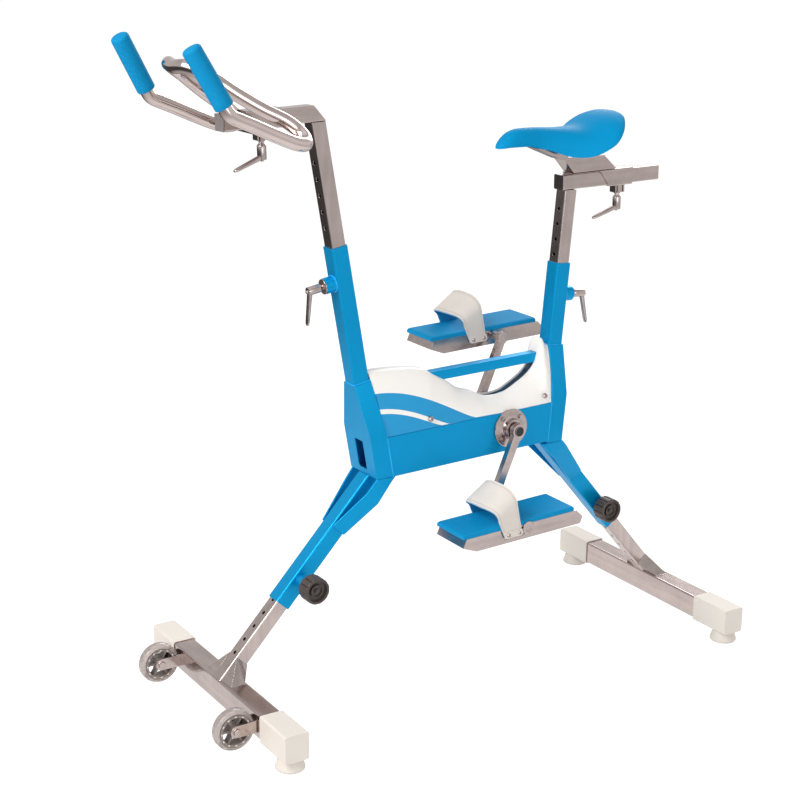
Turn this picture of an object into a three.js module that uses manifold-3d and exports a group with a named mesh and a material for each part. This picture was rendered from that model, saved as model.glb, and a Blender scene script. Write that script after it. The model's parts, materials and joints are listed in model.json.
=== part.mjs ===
// Aqua bike: a stationary bicycle that stands on the floor of a pool.
// Millimetres. +X points to the rear, +Y to the rider's right, +Z up, z = 0 is the floor.

import * as THREE from 'three';
import { ConvexGeometry } from 'three/addons/geometries/ConvexGeometry.js';
import { mergeVertices } from 'three/addons/utils/BufferGeometryUtils.js';
import Module from 'manifold-3d';

const wasm = await Module();
wasm.setup();

// Clearances and cutter overruns
const seatGap = 0.3;
const slideGap = 0.5;
const overrun = 6;
const farReach = 2000;
const weldDistance = 0.001;

// Facets
const roundSides = 18;
const smallSides = 10;
const holeSides = 8;
const cornerSteps = 2;

// Stabiliser bars
const barSpacing = 1055;
const barWidth = 44;
const barHeight = 49;
const barWall = 2;
const barCorner = 4;
const capWidth = 50;
const capHeight = 55;
const capLength = 98;
const capCorner = 5;
const capOuterEnd = 283;
const capPocket = 60;
const footHeight = 23;
const footBaseDiameter = 56;
const footTopDiameter = 42;
const footRim = 7;
const footPlace = 255;
const footStudDiameter = 10;
const footStudLength = 12;

// Transport wheels on the front bar
const wheelDiameter = 80;
const wheelWidth = 24;
const wheelCentreHeight = 54;
const wheelPlace = 163;
const wheelReach = 45.4;
const tyreBand = 13;
const wheelHubDiameter = 22;
const wheelWebWidth = 10;
const wheelSpokeWidth = 6;
const wheelSpokes = 6;
const wheelWindowInset = 2;
const wheelAxleDiameter = 8;
const forkThickness = 3;
const forkHeight = 24;
const axleHeadDiameter = 15;
const axleHeadHeight = 5;

// Legs
const frontLegTilt = 42.9;
const rearLegTilt = -40.6;
const frontSleeveEndX = -411;
const frontSleeveEndZ = 201;
const rearSleeveEndX = 406.3;
const rearSleeveEndZ = 213;
const sleeveSize = 35;
const sleeveWall = 2;
const sleeveCorner = 3.5;
const tubeWall = 2;
const tubeCorner = 3;
const tubeSize = sleeveSize - 2 * sleeveWall - 2 * slideGap;
const legInsertion = 150;
const holeDiameter = 8;
const holePitch = 31;
const legHoles = 7;
const legFirstHole = 26;
const gussetRise = 42;
const gussetReach = 52;
const gussetFoot = 29;

// Cheek plates that join the leg sleeves to the nodes
const cheekThickness = 4;
const cheekTopHalfWidth = 49.5;
const cheekBendHalfWidth = 45;
const cheekLowHalfWidth = 21.6;
const frontCheekTopFront = -16;
const frontCheekTopRear = 15;
const frontCheekBend = 267;
const frontCheekBendFront = -13;
const frontCheekBendRear = 23;
const frontCheekLow = 180;
const rearCheekTopFront = -25;
const rearCheekTopRear = 16;
const rearCheekBend = 264;
const rearCheekBendFront = -21;
const rearCheekBendRear = 18;
const rearCheekLow = 168;
const cheekLowHalfDepth = 17;

// Leg knobs
const knobDiameter = 48.5;
const knobThickness = 33;
const knobFlutes = 12;
const knobFluteDepthShare = 0.09;
const knobRecessDepth = 5;
const knobRecessShare = 0.66;
const knobBevel = 2;
const knobStudDiameter = 10;
const knobHeightOnSleeve = 60;
const knobBossDiameter = 26;
const knobBossHeight = 6;
const frontKnobShank = 27;
const rearKnobShank = 3;

// Nodes: flared housings at the two ends of the beam
const mastTilt = -10.2;
const seatTilt = 5;
const frontNodeX = -200;
const frontNodeZ = 436;
const rearNodeX = 213.6;
const rearNodeZ = 437;
const frontNodeBottom = 433;
const rearNodeBottom = 438;
const nodeHalfWidth = 49.5;
const nodeNeckHalfWidth = 20.5;
const nodeFlareStart = 93.5;
const frontNodeTop = 189;
const rearNodeTop = 199.6;
const rearNodeFlareStart = 103;
const nodeDepth = 37;
const nodeWall = 3;
const windowWidth = 30;
const windowHeight = 60;
const windowPlace = 42;

// Mast and seat tower
const mastSleeveTop = 462.3;
const mastPostBottom = 312;
const mastPostTop = 702;
const mastBossPlace = 393;
const mastHoles = 6;
const mastFirstHole = 500;
const seatSleeveTop = 370;
const seatPostBottom = 240;
const seatPostTop = 518.6;
const seatBossPlace = 304;
const seatHoles = 4;
const seatFirstHole = 386;
const bossDiameter = 31;
const bossLength = 20;

// Beam and brace
const beamTilt = 1.5;
const beamMidZ = 478.6;
const beamHeight = 82;
const beamWall = 3;
const braceTilt = 1.3;
const braceMidZ = 610.4;
const braceSize = 20;
const braceWall = 2;

// Fairing shell on the beam
const fairingStart = -214;
const fairingLength = 420;
const fairingHeight = 139;
const fairingBaseZ = 518;
const fairingBaseHalfWidth = 47;
const fairingRidgeHalfWidth = 14;
const fairingBulge = 5;
const fairingWall = 3;
const fairingPastNode = 20;
const troughStart = 52;
const troughEnd = 186;
const troughHalfWidth = 10;
const fairingRidgeShares = [
  [0, 0.878], [0.105, 0.871], [0.227, 0.835], [0.301, 0.791], [0.346, 0.705], [0.427, 0.568],
  [0.506, 0.41], [0.58, 0.335], [0.644, 0.252], [0.702, 0.237], [0.757, 0.256], [0.84, 0.367],
  [0.902, 0.482], [0.945, 0.633], [0.959, 0.78], [0.969, 0.96], [0.98, 0.98], [1, 0.87],
];

// Crank drive
const spindleX = 98;
const spindleZ = 488;
const spindleDiameter = 20;
const spindleCollarDiameter = 25;
const spindleHalfLength = 77.7;
const shellDiameter = 56;
const bearingDiameter = 47;
const bearingWidth = 13;
const flangeDiameter = 80;
const flangeThickness = 4;
const flangeHubDiameter = 42;
const flangeHubEnd = 66;
const flangeBoltDiameter = 10;
const flangeBoltHeight = 3.5;
const flangeBoltCircle = 31;
const flangeBolts = 4;
const crankLength = 165;
const crankAngle = 22.5;
const crankThickness = 12.5;
const crankFace = 81;
const crankCapThickness = 3;
const crankWide = 18;
const crankNarrow = 16;
const spindleEyeDiameter = 30;
const pedalEyeDiameter = 25;
const dustCapDiameter = 21;
const dustCapHeight = 1.5;

// Pedals
const pedalPitch = 2;
const pedalAxleDiameter = 10;
const pedalCollarDiameter = 17;
const washerDiameter = 26;
const washerThickness = 2.5;
const trayCentre = 156;
const trayWidth = 92;
const traySheet = 2.5;
const trayTop = 8;
const trayBottom = -22;
const trayTopFront = -145;
const trayTopRear = 120;
const trayNoseX = -153;
const trayNoseZ = -9;
const trayTailX = 136;
const trayTailZ = -8;
const trayBottomFront = -122;
const trayBottomRear = 130;
const trayBossDiameter = 15.6;
const padThickness = 10;
const padFront = -152;
const padRear = 114;
const padBevel = 1.5;
const recessDepth = 1;
const recessTop = 4;
const recessBottom = -14;
const recessTopFront = -80;
const recessTopRear = 15;
const recessBottomFront = -57;
const recessBottomRear = -12;

// Foot straps
const strapThickness = 3.5;
const strapFootZ = -10;
const strapFootFront = -57;
const strapFootRear = -16;
const strapShoulderFront = -72;
const strapShoulderRear = -27;
const strapShoulderFrontZ = 28;
const strapShoulderRearZ = 53;
const strapCrestFront = -90;
const strapCrestRear = -42;
const strapCrestFrontZ = 54;
const strapCrestRearZ = 95;
const strapSkew = 8;
const strapRings = 18;
const strapFrontPower = 0.6;
const strapRearPower = 0.8;

// Handlebar
const stemTilt = 2.1;
const stemSize = 30;
const stemFront = -512;
const stemRear = -307.5;
const stemMitre = 23.5;
const stemFrontZ = 1117;
const plugThickness = 4;
const plugInsert = 16;
const barTubeDiameter = 25;
const gripDiameter = 34;
const gripLength = 112;
const gripEndWall = 10;
const gripRound = 2;
const gripSteps = 3;
const loopFront = -598;
const loopLength = 182;
const loopHalfWidth = 150;
const loopLow = 1104;
const loopRise = 130;
const handlebarSides = 10;
const handlebarSteps = 64;
const handlebarPathShares = [
  [0, 0, 0.985], [0.037, 0.236, 1], [0.158, 0.38, 0.908], [0.268, 0.452, 0.815], [0.405, 0.51, 0.677],
  [0.66, 0.628, 0.446], [0.884, 0.708, 0.277], [0.979, 0.774, 0.154], [1, 0.866, 0.06],
  [0.953, 0.964, 0.015], [0.863, 1, 0.03], [0.753, 1.01, 0.085], [0.579, 1.02, 0.187],
  [0.397, 1.03, 0.3], [0.253, 1.04, 0.385], [0.179, 1.045, 0.445], [0.126, 1.047, 0.507],
];
const gripEndShares = [-0.185, 0.974, 1.292];
const sliderFront = -470;
const sliderRear = -400;
const sliderWall = 2.2;
const crossPlateThickness = 5;
const crossPlateFront = -466;
const crossPlateRear = -426;
const clampBlockWidth = 18;
const clampBlockHeight = 16;
const clampBlockLength = 24;
const clampNutLength = 12;
const clampSlot = 2.5;
const barLeverX = -434;
const barLeverTurn = 12;

// Clamp levers
const leverStudDiameter = 8;
const leverNeckDiameter = 9;
const leverNeckLength = 5;
const leverConeLength = 4;
const leverHubDiameter = 17;
const leverHubLength = 19;
const leverHubBevel = 1.5;
const leverTipDiameter = 6;
const leverTipLength = 3;
const leverCollarHeight = 2.5;
const mastCollarDiameter = 30;
const seatCollarDiameter = 18;
const sliderCollarDiameter = 13;
const leverArmLength = 62;
const leverArmWidth = 11.5;
const leverArmRootThickness = 10;
const leverArmTipThickness = 7;
const leverArmRound = 5;
const leverArmLean = 12;

// Seat
const railTilt = 0.8;
const railFront = 237.5;
const railRear = 487.5;
const railBottomZ = 954;
const railPlugThickness = 3;
const seatSliderPlateFront = 260;
const seatSliderTopFront = 331;
const seatSliderBottomFront = 356;
const seatSliderRear = 415;
const seatLeverX = 390;
const bracketThickness = 4;
const bracketHalfWidth = 17.7;
const bracketBaseFront = 262;
const bracketBaseRear = 372;
const bracketTopFront = 233;
const bracketTopRear = 337;
const bracketTopZ = 1020;
const saddlePlateFront = 150;
const saddlePlateRear = 240;
const saddlePlateStepX = 188;
const saddlePlateStepZ = 1034;
const saddleFront = 82;
const saddleLength = 287;
const saddleHalfWidth = 92;
const saddleUnderZ = 1044;
const saddleCrownZ = 1083;
const saddleSkirtDrop = 16;
const saddleRingPoints = 20;
const saddleArchPower = 0.4;
const saddleCrownPower = 0.75;
const saddleSidePower = 0.8;
const saddleWidthShares = [
  [0, 0.03], [0.0115, 0.1], [0.038, 0.165], [0.096, 0.215], [0.192, 0.245], [0.287, 0.275], [0.38, 0.36],
  [0.439, 0.45], [0.498, 0.55], [0.578, 0.7], [0.659, 0.86], [0.739, 0.97], [0.801, 1], [0.861, 0.95],
  [0.909, 0.82], [0.951, 0.64], [0.979, 0.4], [1, 0.12],
];
const saddleTopShares = [
  [0, 0.2], [0.0115, 0.38], [0.038, 0.66], [0.096, 0.92], [0.192, 1], [0.287, 1], [0.38, 0.98],
  [0.502, 0.96], [0.627, 1.03], [0.69, 1.18], [0.76, 1.38], [0.829, 1.51], [0.899, 1.61], [0.951, 1.64],
  [1, 1.59],
];
const saddleEdgeShares = [
  [0, 0.12], [0.096, 0.3], [0.192, 0.35], [0.24, 0.37], [0.307, 0.12], [0.404, -0.38], [0.47, -0.87],
  [0.519, -1.06], [0.589, -1], [0.662, -0.62], [0.735, 0.25], [0.812, 1.12], [0.861, 1.87], [0.92, 2.75],
  [0.951, 3.31], [0.979, 3.62], [1, 3.75],
];

// Materials
const frameBlue = new THREE.MeshStandardMaterial({ color: 0x0095d6, roughness: 0.35, metalness: 0.1 });
const steel = new THREE.MeshStandardMaterial({ color: 0xb9b3ae, roughness: 0.3, metalness: 0.9 });
const polished = new THREE.MeshStandardMaterial({ color: 0xd8d2cc, roughness: 0.12, metalness: 1 });
const whitePlastic = new THREE.MeshStandardMaterial({ color: 0xe9e4de, roughness: 0.4, metalness: 0 });
const softBlue = new THREE.MeshStandardMaterial({ color: 0x0093d3, roughness: 0.7, metalness: 0 });
const blackPlastic = new THREE.MeshStandardMaterial({ color: 0x3a3432, roughness: 0.5, metalness: 0 });
const clearPlastic = new THREE.MeshStandardMaterial({ color: 0xb8b0ac, roughness: 0.2, metalness: 0 });

// Solids, joins and cuts
function toSolid(geometry) {
  const bare = geometry.clone();
  bare.deleteAttribute('normal');
  bare.deleteAttribute('uv');
  const welded = mergeVertices(bare, weldDistance);
  const corners = welded.index.array;
  const kept = [];
  for (let i = 0; i < corners.length; i += 3) {
    const [a, b, c] = [corners[i], corners[i + 1], corners[i + 2]];
    if (a !== b && b !== c && c !== a) kept.push(a, b, c);
  }
  const mesh = new wasm.Mesh({
    numProp: 3,
    vertProperties: new Float32Array(welded.attributes.position.array),
    triVerts: new Uint32Array(kept),
  });
  mesh.merge();
  return new wasm.Manifold(mesh);
}

function toGeometry(solid) {
  const mesh = solid.getMesh();
  const geometry = new THREE.BufferGeometry();
  geometry.setAttribute('position', new THREE.BufferAttribute(new Float32Array(mesh.vertProperties), 3));
  geometry.setIndex(Array.from(mesh.triVerts));
  return geometry;
}

function join(first, ...others) {
  return toGeometry(others.reduce((sum, next) => sum.add(toSolid(next)), toSolid(first)));
}

function cut(body, ...cutters) {
  return toGeometry(cutters.reduce((rest, cutter) => rest.subtract(toSolid(cutter)), toSolid(body)));
}

function mirrored(geometry) {
  const copy = toGeometry(toSolid(geometry));
  copy.scale(1, -1, 1);
  const corners = copy.index.array;
  for (let i = 0; i < corners.length; i += 3) {
    [corners[i], corners[i + 1]] = [corners[i + 1], corners[i]];
  }
  return copy;
}

// Basic forms
function outline(points) {
  return new THREE.Shape(points.map(([x, y]) => new THREE.Vector2(x, y)));
}

function roundedSquare(width, depth, corner) {
  const shape = new THREE.Shape();
  const [a, b] = [width / 2 - corner, depth / 2 - corner];
  shape.absarc(a, b, corner, 0, Math.PI / 2);
  shape.absarc(-a, b, corner, Math.PI / 2, Math.PI);
  shape.absarc(-a, -b, corner, Math.PI, 1.5 * Math.PI);
  shape.absarc(a, -b, corner, 1.5 * Math.PI, 2 * Math.PI);
  shape.closePath();
  return shape;
}

function extruded(shape, depth, steps = cornerSteps) {
  return new THREE.ExtrudeGeometry(shape, { depth, bevelEnabled: false, curveSegments: steps });
}

// A bar or tube that rises along Z from bottom to top.
function uprightBar(width, depth, corner, bottom, top) {
  return extruded(roundedSquare(width, depth, corner), top - bottom).translate(0, 0, bottom);
}

function uprightTube(width, depth, wall, corner, bottom, top) {
  const [low, high] = [bottom - overrun, top + overrun];
  const bore = uprightBar(width - 2 * wall, depth - 2 * wall, corner - wall / 2, low, high);
  return cut(uprightBar(width, depth, corner, bottom, top), bore);
}

function squareTube(size, wall, corner, bottom, top) {
  return uprightTube(size, size, wall, corner, bottom, top);
}

// A side view of (x, z) points made as wide as from yLow to yHigh.
function sideProfile(points, yLow, yHigh) {
  return extruded(outline(points), yHigh - yLow).rotateX(Math.PI / 2).translate(0, yHigh, 0);
}

// A front view of (y, z) points made as deep as from xLow to xHigh.
function frontProfile(points, xLow, xHigh) {
  const turn = new THREE.Matrix4().makeBasis(
    new THREE.Vector3(0, 1, 0), new THREE.Vector3(0, 0, 1), new THREE.Vector3(1, 0, 0));
  return extruded(outline(points), xHigh - xLow).applyMatrix4(turn).translate(xLow, 0, 0);
}

function block(xLow, xHigh, yLow, yHigh, zLow, zHigh) {
  const box = new THREE.BoxGeometry(xHigh - xLow, yHigh - yLow, zHigh - zLow);
  return box.translate((xLow + xHigh) / 2, (yLow + yHigh) / 2, (zLow + zHigh) / 2);
}

// Round forms: along Y from yLow to yHigh, along Z from zLow to zHigh, along X from xLow to xHigh.
function roundY(diameter, yLow, yHigh, sides = roundSides) {
  return new THREE.CylinderGeometry(diameter / 2, diameter / 2, yHigh - yLow, sides)
    .translate(0, (yLow + yHigh) / 2, 0);
}

function roundZ(diameter, zLow, zHigh, sides = roundSides) {
  return roundY(diameter, zLow, zHigh, sides).rotateX(Math.PI / 2);
}

function roundX(diameter, xLow, xHigh, sides = roundSides) {
  return roundY(diameter, -xHigh, -xLow, sides).rotateZ(Math.PI / 2);
}

// A turned form from (radius, height) pairs, its axis along Z.
function turned(points, sides = roundSides) {
  return new THREE.LatheGeometry(points.map(([r, h]) => new THREE.Vector2(r, h)), sides)
    .rotateX(Math.PI / 2);
}

function enclosedVolume(points, corners) {
  let sum = 0;
  for (let i = 0; i < corners.length; i += 3) {
    const [a, b, c] = [points[corners[i]], points[corners[i + 1]], points[corners[i + 2]]];
    sum += a.dot(new THREE.Vector3().crossVectors(b, c));
  }
  return sum;
}

// A closed skin through rings with equally many points, each end closed at its ring's middle.
function loft(rings) {
  const count = rings[0].length;
  const points = rings.flat();
  const corners = [];
  for (let r = 0; r + 1 < rings.length; r += 1) {
    for (let i = 0; i < count; i += 1) {
      const [a, b] = [r * count + i, r * count + (i + 1) % count];
      corners.push(a, b, a + count, b, b + count, a + count);
    }
  }
  [0, rings.length - 1].forEach((r) => {
    const middle = new THREE.Vector3();
    rings[r].forEach((point) => middle.addScaledVector(point, 1 / count));
    points.push(middle);
    for (let i = 0; i < count; i += 1) {
      const [a, b] = [r * count + i, r * count + (i + 1) % count];
      if (r === 0) corners.push(b, a, points.length - 1);
      else corners.push(a, b, points.length - 1);
    }
  });
  if (enclosedVolume(points, corners) < 0) {
    for (let i = 0; i < corners.length; i += 3) {
      [corners[i], corners[i + 1]] = [corners[i + 1], corners[i]];
    }
  }
  const geometry = new THREE.BufferGeometry().setFromPoints(points);
  geometry.setIndex(corners);
  return geometry;
}

// Reads a table of (place, value) shares at a place between its rows.
function readShares(table, place) {
  const next = table.findIndex(([x]) => x >= place);
  if (next <= 0) return table[next < 0 ? table.length - 1 : 0][1];
  const [[x0, y0], [x1, y1]] = [table[next - 1], table[next]];
  return y0 + (y1 - y0) * (place - x0) / (x1 - x0);
}

// Groups and their meshes
const bike = new THREE.Group();

function turnedGroup(parent, x, z, tilt) {
  const group = new THREE.Group();
  group.position.set(x, 0, z);
  group.rotation.y = THREE.MathUtils.degToRad(tilt);
  parent.add(group);
  group.updateMatrixWorld(true);
  return group;
}

function addPart(group, name, geometry, material) {
  const mesh = new THREE.Mesh(geometry, material);
  mesh.name = name;
  group.add(mesh);
  return mesh;
}

// Brings a form given in the bike's frame into a turned group.
function intoGroup(group, geometry) {
  return geometry.applyMatrix4(group.matrixWorld.clone().invert());
}

function outOfGroup(group, geometry) {
  return geometry.applyMatrix4(group.matrixWorld);
}

const frontLeg = turnedGroup(bike, frontSleeveEndX, frontSleeveEndZ, frontLegTilt);
const rearLeg = turnedGroup(bike, rearSleeveEndX, rearSleeveEndZ, rearLegTilt);
const mast = turnedGroup(bike, frontNodeX, frontNodeZ, mastTilt);
const seatTower = turnedGroup(bike, rearNodeX, rearNodeZ, seatTilt);

// Stabiliser bars, caps and feet
const barMidZ = footHeight + capHeight / 2;
const barTopZ = barMidZ + barHeight / 2;
const capInnerEnd = capOuterEnd - capLength;
const barHalfLength = capInnerEnd + capPocket;

function stabiliserBar() {
  const tube = uprightTube(barWidth, barHeight, barWall, barCorner, -barHalfLength, barHalfLength);
  return tube.rotateX(Math.PI / 2).translate(0, 0, barMidZ);
}

function endCap() {
  const shell = uprightBar(capWidth, capHeight, capCorner, capInnerEnd, capOuterEnd);
  const pocket = uprightBar(barWidth + 2 * seatGap, barHeight + 2 * seatGap, barCorner,
    capInnerEnd - overrun, barHalfLength + seatGap);
  const upright = cut(shell, pocket).rotateX(-Math.PI / 2).translate(0, 0, barMidZ);
  const studHole = roundZ(footStudDiameter + 2 * seatGap, footHeight - overrun,
    footHeight + footStudLength + seatGap, smallSides).translate(0, footPlace, 0);
  return cut(upright, studHole);
}

function foot() {
  const [base, top, stud] = [footBaseDiameter / 2, footTopDiameter / 2, footStudDiameter / 2];
  const seat = footHeight - seatGap;
  return turned([
    [0, 0], [base, 0], [base, footRim], [top, seat], [stud, seat],
    [stud, footHeight + footStudLength], [0, footHeight + footStudLength],
  ]).translate(0, footPlace, 0);
}

// A folded gusset on one side of a leg tube, from the bar's top up the side of the tube.
function gusset(leg, direction) {
  const base = barTopZ - barWall / 2;
  const half = tubeSize / 2;
  const side = half + seatGap;
  const high = legBottom(leg) + gussetRise;
  const points = [-half, half].map((across) => (
    new THREE.Vector3(across, side, high).applyMatrix4(leg.matrixWorld)));
  const barX = direction * barSpacing / 2;
  [-1, 1].forEach((end) => {
    points.push(new THREE.Vector3(barX + end * (barWidth / 2 - barCorner), side, base));
    points.push(new THREE.Vector3(barX + end * gussetFoot / 2, gussetReach, base));
  });
  return new ConvexGeometry(points);
}

// Where a leg's axis meets the top of its bar, as a height along the leg.
function legBottom(leg) {
  return (barTopZ - leg.position.z) / Math.cos(leg.rotation.y);
}

function gussets(leg, direction) {
  const one = gusset(leg, direction);
  return [one, mirrored(one)];
}

// Wheel forks with their axle bolts, on the front of the front bar
const wheelX = -barSpacing / 2 - barWidth / 2 - wheelReach;

function wheelFork() {
  const inner = wheelWidth / 2 + slideGap;
  const plate = (yLow) => {
    const shape = new THREE.Shape();
    const radius = forkHeight / 2;
    shape.absarc(wheelX, wheelCentreHeight, radius, Math.PI / 2, 1.5 * Math.PI);
    shape.lineTo(wheelX + wheelReach + barWall / 2, wheelCentreHeight - radius);
    shape.lineTo(wheelX + wheelReach + barWall / 2, wheelCentreHeight + radius);
    const sheet = extruded(shape, forkThickness, smallSides / 2);
    return sheet.rotateX(Math.PI / 2).translate(0, yLow + forkThickness, 0);
  };
  const reach = inner + forkThickness;
  const bolt = roundY(wheelAxleDiameter, -reach - overrun / 2, reach + overrun / 2, smallSides);
  const heads = [-1, 1].map((end) => {
    const near = end > 0 ? reach - forkThickness / 2 : -reach - axleHeadHeight;
    return roundY(axleHeadDiameter, near, near + axleHeadHeight + forkThickness / 2, 6);
  });
  const axle = join(bolt, ...heads).translate(wheelX, wheelPlace, wheelCentreHeight);
  return join(plate(wheelPlace - reach), plate(wheelPlace + inner), axle);
}

function wheel() {
  const radius = wheelDiameter / 2;
  const rim = radius - tyreBand;
  const hub = wheelHubDiameter / 2;
  const bore = wheelAxleDiameter / 2 + slideGap;
  const [half, web, bevel] = [wheelWidth / 2, wheelWebWidth / 2, tyreBand / 4];
  const body = turned([
    [bore, -half], [hub, -half], [hub, -web], [rim, -web], [rim, -half], [radius - bevel, -half],
    [radius, -half + bevel], [radius, half - bevel], [radius - bevel, half], [rim, half], [rim, web],
    [hub, web], [hub, half], [bore, half], [bore, -half],
  ], 4 * wheelSpokes);
  const step = 2 * Math.PI / wheelSpokes;
  const windows = Array.from({ length: wheelSpokes }, (_, i) => {
    const [inner, outer] = [hub + wheelWindowInset, rim - wheelWindowInset];
    const [innerTurn, outerTurn] = [inner, outer].map((edge) => (step - wheelSpokeWidth / edge) / 2);
    const shape = new THREE.Shape();
    shape.absarc(0, 0, outer, -outerTurn, outerTurn);
    shape.absarc(0, 0, inner, innerTurn, -innerTurn, true);
    const hole = extruded(shape, wheelWidth, cornerSteps).translate(0, 0, -half);
    return hole.rotateZ(i * step);
  });
  return cut(body, ...windows).rotateX(Math.PI / 2);
}

// Leg tubes and sleeves
function legTube(leg) {
  const low = legBottom(leg) - 2 * tubeSize;
  const tube = squareTube(tubeSize, tubeWall, tubeCorner, low, legInsertion);
  const belowBar = block(-farReach, farReach, -farReach, farReach, -farReach, barTopZ + seatGap);
  const start = legBottom(leg) + legFirstHole + gussetRise / 2;
  return cut(tube, intoGroup(leg, belowBar), ...indexHoles(-1, start, legHoles));
}

// A row of index holes through the front or rear wall of a square tube.
function indexHoles(side, first, count) {
  const [inside, outside] = [tubeSize / 2 - tubeWall - slideGap, tubeSize / 2 + overrun];
  return Array.from({ length: count }, (_, i) => (
    roundX(holeDiameter, inside, outside, holeSides)
      .rotateZ(side < 0 ? Math.PI : 0).translate(0, 0, first + i * holePitch)));
}

function legSleeve(leg, nodeBottom) {
  const sleeve = squareTube(sleeveSize, sleeveWall, sleeveCorner, 0, farReach);
  const half = sleeveSize / 2;
  const above = block(-farReach, farReach, -farReach, farReach, nodeBottom - seatGap, farReach);
  const boss = roundY(knobBossDiameter, -half - knobBossHeight, -half + sleeveWall / 2)
    .translate(0, 0, knobHeightOnSleeve);
  const bore = roundY(knobStudDiameter + 2 * seatGap, -half - farReach, 0, smallSides)
    .translate(0, 0, knobHeightOnSleeve);
  return cut(join(sleeve, boss), intoGroup(leg, above), bore);
}

// A cheek plate: from the node's foot it folds in twice and ends flat on the sleeve's side.
function cheek(leg, nodeBottom, rows) {
  const rings = rows.map(([up, front, rear, outside]) => {
    const inside = outside - cheekThickness;
    return [[front, outside], [rear, outside], [rear, inside], [front, inside]]
      .map(([x, y]) => new THREE.Vector3(x, y, up));
  });
  const above = block(-farReach, farReach, -farReach, farReach, nodeBottom - seatGap, farReach);
  return cut(loft(rings), intoGroup(leg, above));
}

function cheekRows(bend, low, topFront, topRear, bendFront, bendRear, leg, nodeBottom) {
  const top = (nodeBottom - leg.position.z) / Math.cos(leg.rotation.y);
  const onSleeve = cheekThickness + sleeveSize / 2 + seatGap;
  return [
    [top + sleeveSize, topFront, topRear, cheekTopHalfWidth],
    [top, topFront, topRear, cheekTopHalfWidth],
    [bend, bendFront, bendRear, cheekBendHalfWidth],
    [low, -cheekLowHalfDepth, cheekLowHalfDepth, Math.max(onSleeve, cheekLowHalfWidth)],
  ];
}

// Leg knobs: a fluted head with a sunk face, a shank and a stud that ends at the leg tube
function knob(shank) {
  const radius = knobDiameter / 2 - knobBevel;
  const steps = knobFlutes * 4;
  const points = Array.from({ length: steps }, (_, i) => {
    const angle = 2 * Math.PI * i / steps;
    const wave = Math.max(0, Math.cos(knobFlutes * angle));
    const r = radius * (1 - knobFluteDepthShare * wave);
    return [r * Math.cos(angle), r * Math.sin(angle)];
  });
  const head = new THREE.ExtrudeGeometry(outline(points), {
    depth: knobThickness - 2 * knobBevel,
    bevelThickness: knobBevel,
    bevelSize: knobBevel,
    bevelSegments: 1,
  }).rotateX(Math.PI / 2);
  const bossFace = -sleeveSize / 2 - knobBossHeight;
  const headBack = bossFace - shank;
  head.translate(0, headBack - knobBevel, 0);
  const neck = roundY(knobBossDiameter, headBack - knobBevel, bossFace - seatGap);
  const stud = roundY(knobStudDiameter, headBack - knobBevel, -tubeSize / 2 - seatGap, smallSides);
  const face = headBack - knobThickness;
  const recess = roundY(knobDiameter * knobRecessShare, face - overrun, face + knobRecessDepth);
  return cut(join(head, neck, stud), recess);
}

// Nodes
function nodeOutline(flareStart, top, inset) {
  const wide = nodeHalfWidth - inset;
  const narrow = nodeNeckHalfWidth - inset;
  const end = inset > 0 ? top + overrun : top;
  const past = inset > 0 ? [[narrow, end], [-narrow, end]] : [];
  return [
    [-wide, -nodeDepth], [wide, -nodeDepth], [wide, flareStart], [narrow, top], ...past,
    [-narrow, top], [-wide, flareStart],
  ];
}

function node(tower, flareStart, top, bottomZ, withWindow) {
  const half = nodeDepth / 2;
  const housing = frontProfile(nodeOutline(flareStart, top, 0), -half, half);
  const hollow = frontProfile(nodeOutline(flareStart, top, nodeWall), -half + nodeWall, half - nodeWall);
  const below = block(-farReach, farReach, -farReach, farReach, -farReach, bottomZ);
  const floorLevel = block(-farReach, farReach, -farReach, farReach, -farReach, bottomZ + nodeWall);
  const openSpace = cut(hollow, intoGroup(tower, floorLevel));
  const body = cut(housing, intoGroup(tower, below), openSpace);
  if (!withWindow) return body;
  const window = uprightBar(windowHeight, windowWidth, nodeWall, half - nodeWall - overrun, half + overrun)
    .rotateY(-Math.PI / 2).translate(0, 0, windowPlace);
  return cut(body, window);
}

function towerSleeve(nodeTop, top, side, bossPlace) {
  const sleeve = squareTube(sleeveSize, sleeveWall, sleeveCorner, nodeTop + seatGap, top);
  const half = sleeveSize / 2;
  const boss = roundX(bossDiameter, half - sleeveWall / 2, half + bossLength);
  const bore = roundX(leverStudDiameter + 2 * seatGap, 0, half + bossLength + overrun, smallSides);
  const placed = (form) => form.rotateZ(side < 0 ? Math.PI : 0).translate(0, 0, bossPlace);
  return cut(join(sleeve, placed(boss)), placed(bore));
}

// A sliding post, cut off along the underside of the member that it carries.
function post(tower, carried, bottom, top, firstHole, count) {
  const tube = squareTube(tubeSize, tubeWall, tubeCorner, bottom, top);
  const above = block(-farReach, farReach, -farReach, farReach, -seatGap, farReach);
  const trim = intoGroup(tower, outOfGroup(carried, above));
  return cut(tube, trim, ...indexHoles(-1, firstHole, count));
}

// Straight members between the two nodes
function towerFace(tower, offset) {
  const slope = Math.tan(tower.rotation.y);
  const start = tower.position.x + offset / Math.cos(tower.rotation.y) - slope * tower.position.z;
  return { start, slope };
}

// A point on a sloping member's upper or lower edge where it meets a node's face.
function meet(face, tilt, midZ, rise) {
  const climb = Math.tan(THREE.MathUtils.degToRad(tilt));
  const level = midZ + rise;
  const x = (face.start + face.slope * level) / (1 - face.slope * climb);
  return [x, level + climb * x];
}

function memberOutline(tilt, midZ, height, reach) {
  const front = towerFace(mast, nodeDepth / 2 + seatGap - reach);
  const rear = towerFace(seatTower, -nodeDepth / 2 - seatGap + reach);
  return [
    meet(front, tilt, midZ, -height / 2), meet(rear, tilt, midZ, -height / 2),
    meet(rear, tilt, midZ, height / 2), meet(front, tilt, midZ, height / 2),
  ];
}

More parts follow.
